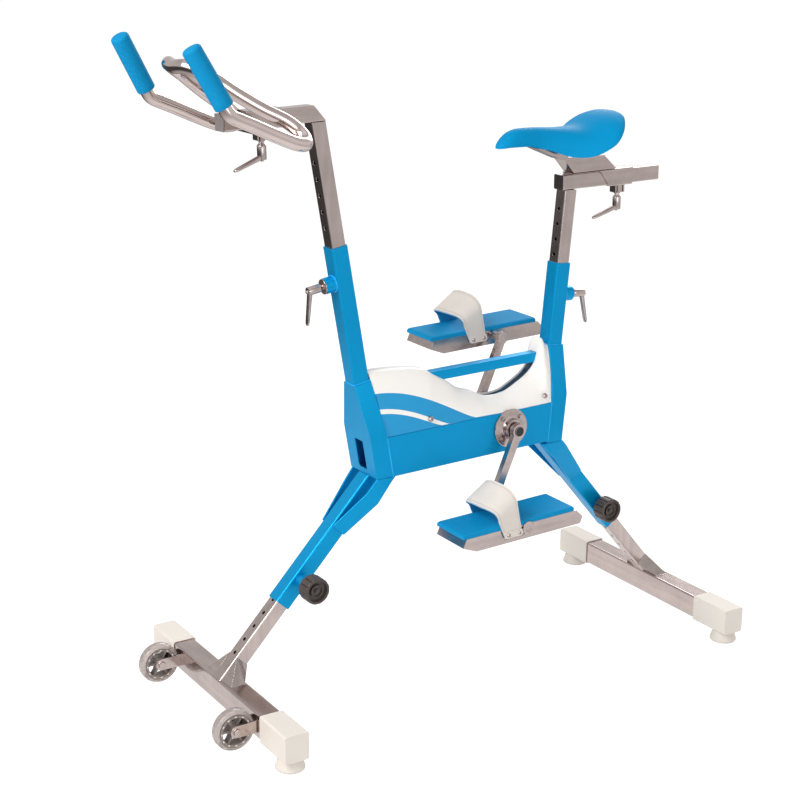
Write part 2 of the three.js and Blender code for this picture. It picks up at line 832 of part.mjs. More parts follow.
function memberTube(tilt, midZ, height, width, wall) {
  const skin = sideProfile(memberOutline(tilt, midZ, height, 0), -width / 2, width / 2);
  const inside = memberOutline(tilt, midZ, height - 2 * wall, overrun);
  return cut(skin, sideProfile(inside, -width / 2 + wall, width / 2 - wall));
}

function atSpindle(geometry) {
  return geometry.translate(spindleX, 0, spindleZ);
}

function mainBeam() {
  const tube = memberTube(beamTilt, beamMidZ, beamHeight, 2 * nodeHalfWidth, beamWall);
  const shell = atSpindle(roundY(shellDiameter, -nodeHalfWidth, nodeHalfWidth, roundSides));
  const bore = atSpindle(roundY(bearingDiameter + 2 * seatGap, -farReach, farReach, roundSides));
  return cut(join(tube, shell), bore);
}

function topBrace(grow = 0) {
  if (grow > 0) {
    const size = braceSize + 2 * grow;
    return sideProfile(memberOutline(braceTilt, braceMidZ, size, overrun), -size / 2, size / 2);
  }
  return memberTube(braceTilt, braceMidZ, braceSize, braceSize, braceWall);
}

// Fairing: a moulded shell with a dome at the mast, a low open trough and a horn at the seat tower
function beamTopAt(x) {
  return beamMidZ + beamHeight / 2 + Math.tan(THREE.MathUtils.degToRad(beamTilt)) * x;
}

function fairingRing(x, ridgeZ, inset) {
  const base = beamTopAt(x) + seatGap - (inset > 0 ? overrun : 0);
  const wide = fairingBaseHalfWidth - inset;
  const narrow = fairingRidgeHalfWidth - inset;
  const top = ridgeZ - inset;
  const shoulder = top - fairingWall;
  const halfway = [(wide + narrow) / 2 + fairingBulge, (base + shoulder) / 2];
  const ridge = [[narrow + fairingWall / 2, shoulder], [narrow - fairingWall, top]];
  const half = [[wide, base], halfway, ...ridge];
  const other = half.map(([y, z]) => [-y, z]).reverse();
  return [...half, ...other].map(([y, z]) => new THREE.Vector3(x, y, z));
}

function fairing() {
  const rows = fairingRidgeShares.map(([along, up]) => [
    fairingStart + along * fairingLength, fairingBaseZ + up * fairingHeight,
  ]);
  const [first, last] = [rows[0], rows[rows.length - 1]];
  const path = [[first[0] - fairingPastNode, first[1]], ...rows, [last[0] + fairingPastNode, last[1]]];
  const outer = loft(path.map(([x, z]) => fairingRing(x, z, 0)));
  const inner = loft(path.map(([x, z], i) => {
    const past = i === 0 ? -overrun : i === path.length - 1 ? overrun : 0;
    return fairingRing(x + past, z, fairingWall);
  }));
  const face = nodeDepth / 2 + seatGap;
  const atMast = outOfGroup(mast, block(-farReach, face, -farReach, farReach, -farReach, farReach));
  const atSeat = outOfGroup(seatTower, block(-face, farReach, -farReach, farReach, -farReach, farReach));
  const slot = uprightBar(troughEnd - troughStart, 2 * troughHalfWidth, troughHalfWidth / 2, 0, farReach)
    .translate((troughStart + troughEnd) / 2, 0, 0);
  return cut(outer, inner, slot, atMast, atSeat, topBrace(seatGap));
}

// Crank drive
function bearing() {
  const [outer, inner] = [bearingDiameter / 2, spindleDiameter / 2 + seatGap];
  const far = nodeHalfWidth - seatGap;
  const near = far - bearingWidth;
  return turned([[inner, near], [outer, near], [outer, far], [inner, far], [inner, near]])
    .rotateX(-Math.PI / 2);
}

function flange() {
  const bore = spindleDiameter / 2 + slideGap;
  const near = nodeHalfWidth + seatGap;
  const far = near + flangeThickness;
  const [outer, hub] = [flangeDiameter / 2, flangeHubDiameter / 2];
  const bevel = flangeThickness / 4;
  const body = turned([
    [bore, near], [outer, near], [outer, far - bevel], [outer - bevel, far], [hub, far],
    [hub, flangeHubEnd - bevel], [hub - bevel, flangeHubEnd], [bore, flangeHubEnd], [bore, near],
  ]).rotateX(-Math.PI / 2);
  const heads = Array.from({ length: flangeBolts }, (_, i) => {
    const angle = Math.PI / flangeBolts + 2 * Math.PI * i / flangeBolts;
    return roundY(flangeBoltDiameter, far - bevel, far + flangeBoltHeight, 6)
      .translate(flangeBoltCircle * Math.cos(angle), 0, flangeBoltCircle * Math.sin(angle));
  });
  return join(body, ...heads);
}

function spindle() {
  const collar = nodeHalfWidth - bearingWidth - 2 * seatGap;
  return join(
    roundY(spindleDiameter, -spindleHalfLength, spindleHalfLength),
    roundY(spindleCollarDiameter, -collar, collar));
}

// A crank that hangs down from the spindle on the right side.
function crank() {
  const inner = crankFace - crankThickness;
  const arm = sideProfile([
    [-crankNarrow / 2, -crankLength], [crankNarrow / 2, -crankLength],
    [crankWide / 2, 0], [-crankWide / 2, 0],
  ], inner, crankFace);
  const top = roundY(spindleEyeDiameter, inner, crankFace);
  const end = roundY(pedalEyeDiameter, inner, crankFace).translate(0, 0, -crankLength);
  const cap = roundY(dustCapDiameter, inner, crankFace + dustCapHeight);
  const boreBack = inner - overrun;
  const spindleBore = roundY(spindleDiameter + 2 * seatGap, boreBack, crankFace - crankCapThickness);
  const pedalBore = roundY(pedalAxleDiameter + 2 * seatGap, boreBack, crankFace + overrun, smallSides)
    .translate(0, 0, -crankLength);
  return cut(join(arm, top, end, cap), spindleBore, pedalBore);
}

function pedalAxle() {
  const inner = crankFace - crankThickness;
  const trayInner = trayCentre - trayWidth / 2;
  const trayOuter = trayCentre + trayWidth / 2;
  return join(
    roundY(pedalAxleDiameter, inner, trayOuter + washerThickness, smallSides),
    roundY(pedalCollarDiameter, crankFace + seatGap, trayInner - seatGap, smallSides),
    roundY(washerDiameter, trayOuter + seatGap, trayOuter + seatGap + washerThickness));
}

// Pedals
function trayOutline(inset) {
  const low = inset > 0 ? -overrun : 0;
  return [
    [trayTopFront + inset, trayTop - inset], [trayNoseX + 2 * inset, trayNoseZ],
    [trayBottomFront + 2 * inset, trayBottom + low], [trayBottomRear - inset, trayBottom + low],
    [trayTailX - inset, trayTailZ], [trayTopRear - inset, trayTop - inset],
  ].reverse();
}

function pedalTray() {
  const [near, far] = [trayCentre - trayWidth / 2, trayCentre + trayWidth / 2];
  const skin = sideProfile(trayOutline(0), near, far);
  const hollow = sideProfile(trayOutline(traySheet), near + traySheet, far - traySheet);
  const boss = roundY(trayBossDiameter, near, far, smallSides);
  const bore = roundY(pedalAxleDiameter + 2 * slideGap, near - overrun, far + overrun, smallSides);
  const recess = [
    [recessTopFront, recessTop], [recessBottomFront, recessBottom],
    [recessBottomRear, recessBottom], [recessTopRear, recessTop],
  ];
  return cut(
    join(cut(skin, hollow), boss), bore,
    sideProfile(recess, near - overrun, near + recessDepth),
    sideProfile(recess, far - recessDepth, far + overrun));
}

function pedalPad() {
  const length = padRear - padFront - 2 * padBevel;
  const shape = roundedSquare(length, trayWidth - 2 * padBevel, padBevel);
  const pad = new THREE.ExtrudeGeometry(shape, {
    depth: padThickness - seatGap - 2 * padBevel, bevelThickness: padBevel, bevelSize: padBevel,
    bevelSegments: 1, curveSegments: cornerSteps,
  });
  return pad.translate((padFront + padRear) / 2, trayCentre, trayTop + seatGap + padBevel);
}

// A strap that arches over the foot, low at the toes and high at the instep.
function footStrap() {
  const half = trayWidth / 2 + seatGap + strapThickness;
  const arch = (inset, shoulder, crest, power, angle) => {
    const across = Math.sign(Math.cos(angle)) * Math.abs(Math.cos(angle)) ** power;
    const up = Math.max(0, Math.sin(angle)) ** power;
    return [(half - inset) * across, shoulder + (crest - inset - shoulder) * up];
  };
  const section = ([front, frontOut, frontIn], [rear, rearOut, rearIn]) => [
    [front, frontOut], [rear, rearOut], [rear, rearIn], [front, frontIn],
  ].map(([x, [y, z]]) => new THREE.Vector3(x, y + trayCentre, z));
  const side = (angle, shoulderX, crestX, shoulderZ, crestZ, power) => {
    const skew = strapSkew * Math.sin(angle) * Math.cos(angle);
    return [
      shoulderX + (crestX - shoulderX) * Math.sin(angle) - skew,
      arch(0, shoulderZ, crestZ, power, angle), arch(strapThickness, shoulderZ, crestZ, power, angle),
    ];
  };
  const arched = Array.from({ length: strapRings }, (_, i) => {
    const angle = Math.PI * i / (strapRings - 1);
    return section(
      side(angle, strapShoulderFront, strapCrestFront, strapShoulderFrontZ, strapCrestFrontZ,
        strapFrontPower),
      side(angle, strapShoulderRear, strapCrestRear, strapShoulderRearZ, strapCrestRearZ,
        strapRearPower));
  });
  const feet = [1, -1].map((way) => {
    const [outer, inner] = [[way * half, strapFootZ], [way * (half - strapThickness), strapFootZ]];
    return section([strapFootFront, outer, inner], [strapFootRear, outer, inner]);
  });
  return loft([feet[0], ...arched, feet[1]]);
}

// Clamp lever: its stud points up along Z, its arm lies to -X and leans away from the clamp
function clampLever(studLength, collarDiameter) {
  const [collar, neck, hub, tip] = [collarDiameter, leverNeckDiameter, leverHubDiameter, leverTipDiameter]
    .map((diameter) => diameter / 2);
  const hubTop = -leverNeckLength - leverConeLength;
  const hubBottom = hubTop - leverHubLength;
  const end = hubBottom - leverTipLength;
  const body = turned([
    [0, end], [tip, end], [tip, hubBottom], [hub - leverHubBevel, hubBottom],
    [hub, hubBottom + leverHubBevel], [hub, hubTop], [neck, -leverNeckLength], [neck, -leverCollarHeight],
    [collar, -leverCollarHeight], [collar, 0], [leverStudDiameter / 2, 0],
    [leverStudDiameter / 2, studLength], [0, studLength],
  ], 2 * holeSides);
  const ring = (along, width, thickness) => Array.from({ length: holeSides }, (_, i) => {
    const angle = 2 * Math.PI * (i + 1 / 2) / holeSides;
    return new THREE.Vector3(-along, Math.cos(angle) * width / 2, Math.sin(angle) * thickness / 2);
  });
  const [width, root, last] = [leverArmWidth, leverArmRootThickness, leverArmTipThickness];
  const arm = loft([
    ring(0, width, root), ring(leverHubDiameter / 2, width, root),
    ring(leverArmLength - 2 * leverArmRound, width, last),
    ring(leverArmLength - leverArmRound / 2, width - leverArmRound / 2, last - leverArmRound / 4),
    ring(leverArmLength, width - leverArmRound, last - leverArmRound / 2),
  ]);
  arm.rotateY(-THREE.MathUtils.degToRad(leverArmLean)).translate(0, 0, (hubTop + hubBottom) / 2);
  return join(body, arm);
}

// A clamp block under a slider: two lugs beside a nut, bored along Z for a lever's stud.
function clampBlock(x, low, high) {
  const half = clampBlockWidth / 2;
  const whole = block(x - clampBlockLength / 2, x + clampBlockLength / 2, -half, half, low, high);
  const slots = [-1, 1].map((side) => {
    const middle = x + side * (clampNutLength + clampSlot) / 2;
    return block(middle - clampSlot / 2, middle + clampSlot / 2, -half - overrun, half + overrun,
      low - overrun, low + clampBlockHeight);
  });
  return cut(whole, ...slots);
}

function studBore(x, high) {
  return roundZ(leverStudDiameter + 2 * seatGap, -farReach, high, smallSides).translate(x, 0, 0);
}

// Handlebar
const stem = turnedGroup(bike, stemFront, stemFrontZ, -stemTilt);
const stemLength = (stemRear - stemFront) / Math.cos(THREE.MathUtils.degToRad(stemTilt));

function stemTube() {
  const tube = squareTube(stemSize, tubeWall, tubeCorner, 0, stemLength)
    .rotateY(Math.PI / 2).translate(0, 0, stemSize / 2);
  const corner = sideProfile([
    [stemLength + overrun, -overrun], [stemLength + overrun, stemSize + overrun],
    [stemLength - stemMitre - overrun, stemSize + overrun], [stemLength, -seatGap],
  ], -stemSize, stemSize);
  return cut(tube, corner);
}

function stemPlug() {
  const plate = block(-plugThickness - seatGap, -seatGap, -stemSize / 2, stemSize / 2, 0, stemSize);
  const inside = tubeWall + seatGap + tubeCorner / 4;
  const insert = block(-plugThickness, plugInsert, -stemSize / 2 + inside, stemSize / 2 - inside,
    inside, stemSize - inside);
  return join(plate, insert);
}

function handlebarCurve() {
  const place = ([along, across, up]) => new THREE.Vector3(
    loopFront + along * loopLength, across * loopHalfWidth, loopLow + up * loopRise);
  const side = handlebarPathShares.map(place);
  const foot = side[side.length - 1];
  const tip = place(gripEndShares);
  [1, 2, 3].forEach((i) => side.push(foot.clone().lerp(tip, i / gripSteps)));
  const other = side.slice(1).map((point) => new THREE.Vector3(point.x, -point.y, point.z)).reverse();
  return new THREE.CatmullRomCurve3([...other, ...side]);
}

function handlebarSweep(diameter) {
  const shape = new THREE.Shape();
  shape.absarc(0, 0, diameter / 2, 0, 2 * Math.PI);
  return new THREE.ExtrudeGeometry(shape, {
    steps: handlebarSteps, curveSegments: handlebarSides / 2, extrudePath: handlebarCurve(),
  });
}

function grip(sweep) {
  const curve = handlebarCurve();
  const tip = curve.getPoint(1);
  const axis = curve.getTangent(1).normalize();
  const radius = gripDiameter / 2;
  const dome = gripEndWall / 2;
  const foot = gripEndWall - gripLength;
  const body = turned([
    [0, foot], [radius - gripRound, foot], [radius, foot + gripRound],
    [radius, gripEndWall - dome], [radius - dome / 2, gripEndWall - dome / 4],
    [radius - dome - dome / 2, gripEndWall], [0, gripEndWall],
  ]);
  const turn = new THREE.Quaternion().setFromUnitVectors(new THREE.Vector3(0, 0, 1), axis);
  body.applyQuaternion(turn).translate(tip.x, tip.y, tip.z);
  const tubeEnd = roundZ(barTubeDiameter, -seatGap, seatGap)
    .applyQuaternion(turn).translate(tip.x, tip.y, tip.z);
  return cut(body, sweep, tubeEnd);
}

function handlebarSlider(sweep) {
  const inner = stemSize + 2 * slideGap;
  const outer = inner + 2 * sliderWall;
  const [front, rear] = [sliderFront, sliderRear].map((x) => x - stem.position.x);
  const sleeve = squareTube(outer, sliderWall, sleeveCorner, front, rear)
    .rotateY(Math.PI / 2).translate(0, 0, stemSize / 2);
  const under = stemSize / 2 - outer / 2 + sliderWall / 2;
  const [plateFront, plateRear] = [crossPlateFront, crossPlateRear].map((x) => x - stem.position.x);
  const plateHalf = loopHalfWidth - barTubeDiameter / 2;
  const plate = block(plateFront, plateRear, -plateHalf, plateHalf, under - crossPlateThickness, under);
  const leverX = barLeverX - stem.position.x;
  const low = under - crossPlateThickness - clampBlockHeight;
  const lugs = clampBlock(leverX, low, under - crossPlateThickness / 2);
  const body = cut(join(sleeve, plate, lugs), intoGroup(stem, sweep), studBore(leverX, 0));
  return { body, low, leverX };
}

// Seat
const rail = turnedGroup(bike, railFront, railBottomZ, -railTilt);
const railLength = (railRear - railFront) / Math.cos(THREE.MathUtils.degToRad(railTilt));

function railTube() {
  const tube = squareTube(tubeSize, tubeWall, tubeCorner, 0, railLength)
    .rotateY(Math.PI / 2).translate(0, 0, tubeSize / 2);
  const inside = tubeSize / 2 - tubeWall / 2;
  const cap = block(0, railPlugThickness, -inside, inside, tubeWall / 2, tubeSize - tubeWall / 2);
  return join(tube, cap);
}

function seatSlider() {
  const inner = tubeSize + 2 * slideGap;
  const outer = inner + 2 * sliderWall;
  const x = (value) => value - rail.position.x;
  const sleeve = squareTube(outer, sliderWall, sleeveCorner, x(seatSliderPlateFront), x(seatSliderRear))
    .rotateY(Math.PI / 2).translate(0, 0, tubeSize / 2);
  const [low, high] = [tubeSize / 2 - outer / 2, tubeSize / 2 + outer / 2];
  const slant = sideProfile([
    [x(seatSliderPlateFront) - overrun, low - overrun], [x(seatSliderBottomFront), low - overrun],
    [x(seatSliderBottomFront), low], [x(seatSliderTopFront), high - sliderWall],
    [x(seatSliderPlateFront) - overrun, high - sliderWall],
  ], -outer, outer);
  const leverX = x(seatLeverX);
  const blockLow = low - clampBlockHeight;
  const lugs = clampBlock(leverX, blockLow, low + sliderWall / 2);
  const body = cut(join(cut(sleeve, slant), lugs), studBore(leverX, tubeSize / 4));
  return { body, low: blockLow, leverX, high };
}

// The bracket: a box of folded sheet, open to the rear, with a plate that slopes up under the saddle.
function saddleBracket(baseAt) {
  const half = bracketHalfWidth;
  const t = bracketThickness;
  const box = sideProfile([
    [bracketBaseFront, baseAt(bracketBaseFront)], [bracketBaseRear, baseAt(bracketBaseRear)],
    [bracketTopRear, bracketTopZ], [bracketTopFront, bracketTopZ],
  ], -half, half);
  const hollow = sideProfile([
    [bracketBaseFront + 2 * t, baseAt(bracketBaseFront) + t],
    [bracketBaseRear + overrun, baseAt(bracketBaseRear) + t],
    [bracketBaseRear + overrun, bracketTopZ - t], [bracketTopFront + 2 * t, bracketTopZ - t],
  ], t - half, half - t);
  const plateTop = saddleUnderZ - seatGap;
  const plate = sideProfile([
    [saddlePlateFront, plateTop - t / 2], [saddlePlateStepX, saddlePlateStepZ],
    [bracketTopFront, bracketTopZ - t], [bracketTopRear, bracketTopZ - t], [bracketTopRear, bracketTopZ],
    [saddlePlateRear + t, bracketTopZ], [saddlePlateRear, plateTop], [saddlePlateFront, plateTop],
  ], -half - t, half + t);
  return join(cut(box, hollow), plate);
}

// Saddle: a narrow nose, wide rear wings with skirts, and a hollow underside
function saddleRing(share) {
  const width = saddleHalfWidth * readShares(saddleWidthShares, share);
  const crownHeight = saddleCrownZ - saddleUnderZ;
  const top = saddleUnderZ + crownHeight * readShares(saddleTopShares, share);
  const edge = saddleUnderZ + saddleSkirtDrop * readShares(saddleEdgeShares, share);
  const under = Math.max(saddleUnderZ, edge) + seatGap;
  const x = saddleFront + saddleLength * share;
  return Array.from({ length: saddleRingPoints }, (_, i) => {
    const angle = 2 * Math.PI * i / saddleRingPoints;
    const [c, s] = [Math.cos(angle), Math.sin(angle)];
    const y = width * Math.sign(c) * Math.abs(c) ** saddleSidePower;
    const z = s >= 0
      ? edge + (top - edge) * s ** saddleCrownPower
      : edge + (under - edge) * Math.abs(s) ** saddleArchPower;
    return new THREE.Vector3(x, y, z);
  });
}

function saddle() {
  return loft(saddleWidthShares.map(([share]) => saddleRing(share)));
}

// Assembly: frame
addPart(bike, 'main_beam', mainBeam(), frameBlue);
addPart(mast, 'front_node', node(mast, nodeFlareStart, frontNodeTop, frontNodeBottom, true), frameBlue);
addPart(seatTower, 'rear_node',
  node(seatTower, rearNodeFlareStart, rearNodeTop, rearNodeBottom, false), frameBlue);
addPart(mast, 'mast_sleeve', towerSleeve(frontNodeTop, mastSleeveTop, -1, mastBossPlace), frameBlue);
addPart(seatTower, 'seat_sleeve', towerSleeve(rearNodeTop, seatSleeveTop, 1, seatBossPlace), frameBlue);
addPart(frontLeg, 'front_leg_sleeve', legSleeve(frontLeg, frontNodeBottom), frameBlue);
addPart(rearLeg, 'rear_leg_sleeve', legSleeve(rearLeg, rearNodeBottom), frameBlue);
addPart(bike, 'top_brace', topBrace(), frameBlue);
addPart(bike, 'fairing', fairing(), whitePlastic);

const frontCheek = cheek(frontLeg, frontNodeBottom, cheekRows(frontCheekBend, frontCheekLow,
  frontCheekTopFront, frontCheekTopRear, frontCheekBendFront, frontCheekBendRear, frontLeg, frontNodeBottom));
const rearCheek = cheek(rearLeg, rearNodeBottom, cheekRows(rearCheekBend, rearCheekLow,
  rearCheekTopFront, rearCheekTopRear, rearCheekBendFront, rearCheekBendRear, rearLeg, rearNodeBottom));
addPart(frontLeg, 'front_cheek_right', frontCheek, frameBlue);
addPart(frontLeg, 'front_cheek_left', mirrored(frontCheek), frameBlue);
addPart(rearLeg, 'rear_cheek_right', rearCheek, frameBlue);
addPart(rearLeg, 'rear_cheek_left', mirrored(rearCheek), frameBlue);

// Assembly: crank drive and pedals
const drive = turnedGroup(bike, spindleX, spindleZ, 0);
addPart(drive, 'right_bearing', bearing(), steel);
addPart(drive, 'left_bearing', mirrored(bearing()), steel);
addPart(drive, 'right_flange', flange(), steel);
addPart(drive, 'left_flange', mirrored(flange()), steel);
addPart(drive, 'spindle', spindle(), steel);

[['left', crankAngle], ['right', crankAngle + 180]].forEach(([side, angle]) => {
  const own = (geometry) => (side === 'left' ? mirrored(geometry) : geometry);
  const crankGroup = turnedGroup(drive, 0, 0, angle);
  addPart(crankGroup, `${side}_crank`, own(crank()), steel);
  const end = new THREE.Vector3(0, 0, -crankLength).applyMatrix4(crankGroup.matrixWorld);
  const axleGroup = turnedGroup(bike, end.x, end.z, 0);
  addPart(axleGroup, `${side}_pedal_axle`, own(pedalAxle()), steel);
  const pedal = turnedGroup(bike, end.x, end.z, -pedalPitch);
  addPart(pedal, `${side}_pedal_tray`, own(pedalTray()), steel);
  addPart(pedal, `${side}_pedal_pad`, own(pedalPad()), softBlue);
  const strap = footStrap().translate(0, side === 'left' ? -2 * trayCentre : 0, 0);
  addPart(pedal, `${side}_pedal_strap`, strap, whitePlastic);
});

// Assembly: handlebar
addPart(mast, 'handlebar_post',
  post(mast, stem, mastPostBottom, mastPostTop, mastFirstHole, mastHoles), polished);
addPart(stem, 'handlebar_stem', stemTube(), polished);
addPart(stem, 'stem_plug', stemPlug(), blackPlastic);
const clearSweep = handlebarSweep(barTubeDiameter + 2 * seatGap);
const slider = handlebarSlider(clearSweep.clone());
addPart(stem, 'handlebar_slider', slider.body, polished);
addPart(bike, 'handlebar_tube', handlebarSweep(barTubeDiameter), polished);
const rightGrip = grip(clearSweep);
addPart(bike, 'right_grip', rightGrip, softBlue);
addPart(bike, 'left_grip', mirrored(rightGrip), softBlue);

const barLever = turnedGroup(stem, slider.leverX, slider.low - seatGap, 0);
barLever.rotation.z = THREE.MathUtils.degToRad(barLeverTurn);
addPart(barLever, 'handlebar_lever', clampLever(-slider.low, sliderCollarDiameter), steel);

const postFace = tubeSize / 2 + seatGap;
const bossFace = sleeveSize / 2 + bossLength + seatGap;
const mastLever = turnedGroup(mast, -bossFace, mastBossPlace, 90);
mastLever.rotation.z = Math.PI;
mastLever.rotation.order = 'YZX';
addPart(mastLever, 'mast_lever', clampLever(bossFace - postFace, mastCollarDiameter), steel);

// Assembly: seat
addPart(seatTower, 'seat_post',
  post(seatTower, rail, seatPostBottom, seatPostTop, seatFirstHole, seatHoles), polished);
addPart(rail, 'seat_rail', railTube(), polished);
const carriage = seatSlider();
addPart(rail, 'seat_slider', carriage.body, polished);
const aboveSlider = (x) => rail.position.z + carriage.high + 2 * seatGap
  + (x - rail.position.x) * Math.tan(THREE.MathUtils.degToRad(railTilt));
addPart(bike, 'saddle_bracket', saddleBracket(aboveSlider), polished);
addPart(bike, 'saddle', saddle(), softBlue);
const railLever = turnedGroup(rail, carriage.leverX, carriage.low - seatGap, 0);
addPart(railLever, 'rail_lever', clampLever(-carriage.low, sliderCollarDiameter), steel);
const seatLever = turnedGroup(seatTower, bossFace, seatBossPlace, -90);
addPart(seatLever, 'seat_lever', clampLever(bossFace - postFace, seatCollarDiameter), steel);

// Assembly: legs
[
  ['front', frontLeg, -1, frontKnobShank], ['rear', rearLeg, 1, rearKnobShank],
].forEach(([end, leg, way, shank]) => {
  const barX = way * barSpacing / 2;
  addPart(leg, `${end}_leg_tube`, legTube(leg), polished);
  const bar = stabiliserBar().translate(barX, 0, 0);
  const forks = way < 0 ? [wheelFork(), mirrored(wheelFork())] : [];
  addPart(bike, `${end}_bar`, join(bar, ...gussets(leg, way), ...forks), polished);
  const ends = turnedGroup(bike, barX, 0, 0);
  addPart(ends, `${end}_right_cap`, endCap(), whitePlastic);
  addPart(ends, `${end}_left_cap`, mirrored(endCap()), whitePlastic);
  addPart(ends, `${end}_right_foot`, foot(), whitePlastic);
  addPart(ends, `${end}_left_foot`, mirrored(foot()), whitePlastic);
  const place = turnedGroup(leg, 0, knobHeightOnSleeve, 0);
  addPart(place, `${end}_leg_knob`, knob(shank), blackPlastic);
});

[['right', 1], ['left', -1]].forEach(([side, way]) => {
  const place = turnedGroup(bike, wheelX, wheelCentreHeight, 0);
  place.position.y = way * wheelPlace;
  addPart(place, `${side}_wheel`, wheel(), clearPlastic);
});

// The origin goes to the middle of the footprint on the floor.
bike.updateMatrixWorld(true);
const extent = new THREE.Box3().setFromObject(bike, true);
bike.position.set(-(extent.min.x + extent.max.x) / 2, -(extent.min.y + extent.max.y) / 2, -extent.min.z);
bike.updateMatrixWorld(true);

export default bike;
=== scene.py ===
"""Aqua bike: the dressed model of an underwater exercise bicycle, laid out as an add-on."""

import json
import math
from contextlib import contextmanager
from functools import cache

import bmesh
import bpy
from bpy.props import FloatProperty, FloatVectorProperty, IntProperty, PointerProperty
from mathutils import Matrix, Vector


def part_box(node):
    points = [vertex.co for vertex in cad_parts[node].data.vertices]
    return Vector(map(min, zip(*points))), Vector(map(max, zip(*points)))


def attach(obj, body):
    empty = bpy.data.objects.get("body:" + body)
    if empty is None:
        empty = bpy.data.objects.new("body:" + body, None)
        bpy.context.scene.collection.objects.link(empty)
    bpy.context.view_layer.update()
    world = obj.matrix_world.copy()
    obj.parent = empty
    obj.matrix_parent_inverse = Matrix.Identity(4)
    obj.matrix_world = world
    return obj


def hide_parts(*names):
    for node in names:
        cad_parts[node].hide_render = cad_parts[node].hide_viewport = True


bl_info = {
    "name": "Aqua Bike",
    "version": (1, 0, 0),
    "blender": (4, 5, 0),
    "location": "3D View > Sidebar > Aqua Bike",
    "description": "Builds the dressed parts of an underwater exercise bicycle",
    "category": "Object",
}

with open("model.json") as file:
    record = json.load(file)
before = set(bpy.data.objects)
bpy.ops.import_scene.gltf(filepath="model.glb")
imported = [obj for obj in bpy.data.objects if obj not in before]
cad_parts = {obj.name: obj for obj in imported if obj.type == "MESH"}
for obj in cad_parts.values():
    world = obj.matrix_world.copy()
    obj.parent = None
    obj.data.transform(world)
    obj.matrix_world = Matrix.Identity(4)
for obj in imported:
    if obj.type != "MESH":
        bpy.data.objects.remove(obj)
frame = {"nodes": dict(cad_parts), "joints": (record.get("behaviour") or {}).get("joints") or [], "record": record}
NODES = frame["nodes"]
JOINTS = {joint["name"]: joint for joint in frame["joints"]}
BODY_OF = {node: body for body, nodes in frame["record"]["behaviour"]["bodies"].items() for node in nodes}
SLOT_OF = {part["node"]: part["material_slot"] for part in frame["record"]["subparts"]}
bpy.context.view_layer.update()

# Places are written in the bike's construction millimetres, where the crank turns at this X.
CRANK_X = 98
MM = 0.001
SHIFT = JOINTS["crank_spin"]["pos_m"][0] - CRANK_X * MM
ENDS = ("front", "rear")
SIDES = (("left", -1), ("right", 1))


def mm(x, y, z):
    """A vector written in millimetres, as metres."""
    return Vector((x * MM, y * MM, z * MM))


def at(x, y, z):
    """A place in the bike's construction millimetres, as metres in the shared frame."""
    return Vector((x * MM + SHIFT, y * MM, z * MM))


def turns(count):
    """Evenly spaced angles, once round."""
    return [2 * math.pi * i / count for i in range(count)]


def polar(reach, turn, level=0.0):
    """A place at a reach and an angle about Z, at a level."""
    return Vector((reach * math.cos(turn), reach * math.sin(turn), level))


# Sizes and colours that a user may change

def length(name, description, value):
    return FloatProperty(name=name, description=description, default=value, min=0, unit='LENGTH')


def number(name, description, value):
    return IntProperty(name=name, description=description, default=value, min=3)


def colour(name, description, value):
    return FloatVectorProperty(name=name, description=description, default=value, size=3,
                               subtype='COLOR', min=0, max=1)


class AquaBikeSizes(bpy.types.PropertyGroup):
    """Sizes of the dressed parts"""
    edge_bevel: length("Edge bevel", "Rounding of plate and tube edges", 0.0011)
    bar_tube: length("Handlebar tube", "Diameter of the bent handlebar tube", 0.025)
    grip: length("Grip", "Diameter of the grips", 0.034)
    strap: length("Strap", "Thickness of the foot straps", 0.0035)
    wheel_spokes: number("Wheel spokes", "Spokes in each transport wheel", 6)
    knob_flutes: number("Knob flutes", "Grooves round each leg knob", 12)


class AquaBikeColours(bpy.types.PropertyGroup):
    """Colours of the finishes"""
    paint: colour("Frame paint", "Glossy paint of the welded frame", (0.0, 0.32, 0.65))
    steel: colour("Steel", "Satin steel of cranks, trays and levers", (0.54, 0.455, 0.435))
    polished: colour("Polished steel", "Sliding tubes, bars and handlebar", (0.56, 0.47, 0.445))
    shell: colour("White plastic", "Moulded fairing", (0.98, 0.935, 0.885))
    cap: colour("Cream plastic", "End caps and feet", (0.80, 0.735, 0.665))
    soft: colour("Soft blue", "Saddle, grips and pads", (0.0, 0.27, 0.555))
    strap: colour("Strap", "Outside of the foot straps", (0.74, 0.68, 0.62))
    knob: colour("Knob", "Leg knobs", (0.066, 0.05, 0.043))
    plug: colour("Plug", "Plug in the front of the handlebar stem", (0.21, 0.185, 0.175))
    dust_cap: colour("Dust cap", "Caps in the ends of the crank", (0.02, 0.02, 0.022))
    tyre: colour("Tyre", "Clear wheel plastic", (0.66, 0.585, 0.55))
    core: colour("Wheel core", "Spoked core inside the clear tyre", (0.26, 0.215, 0.195))


def sizes():
    return bpy.context.scene.aqua_bike_sizes


def colours():
    return bpy.context.scene.aqua_bike_colours


# Node trees

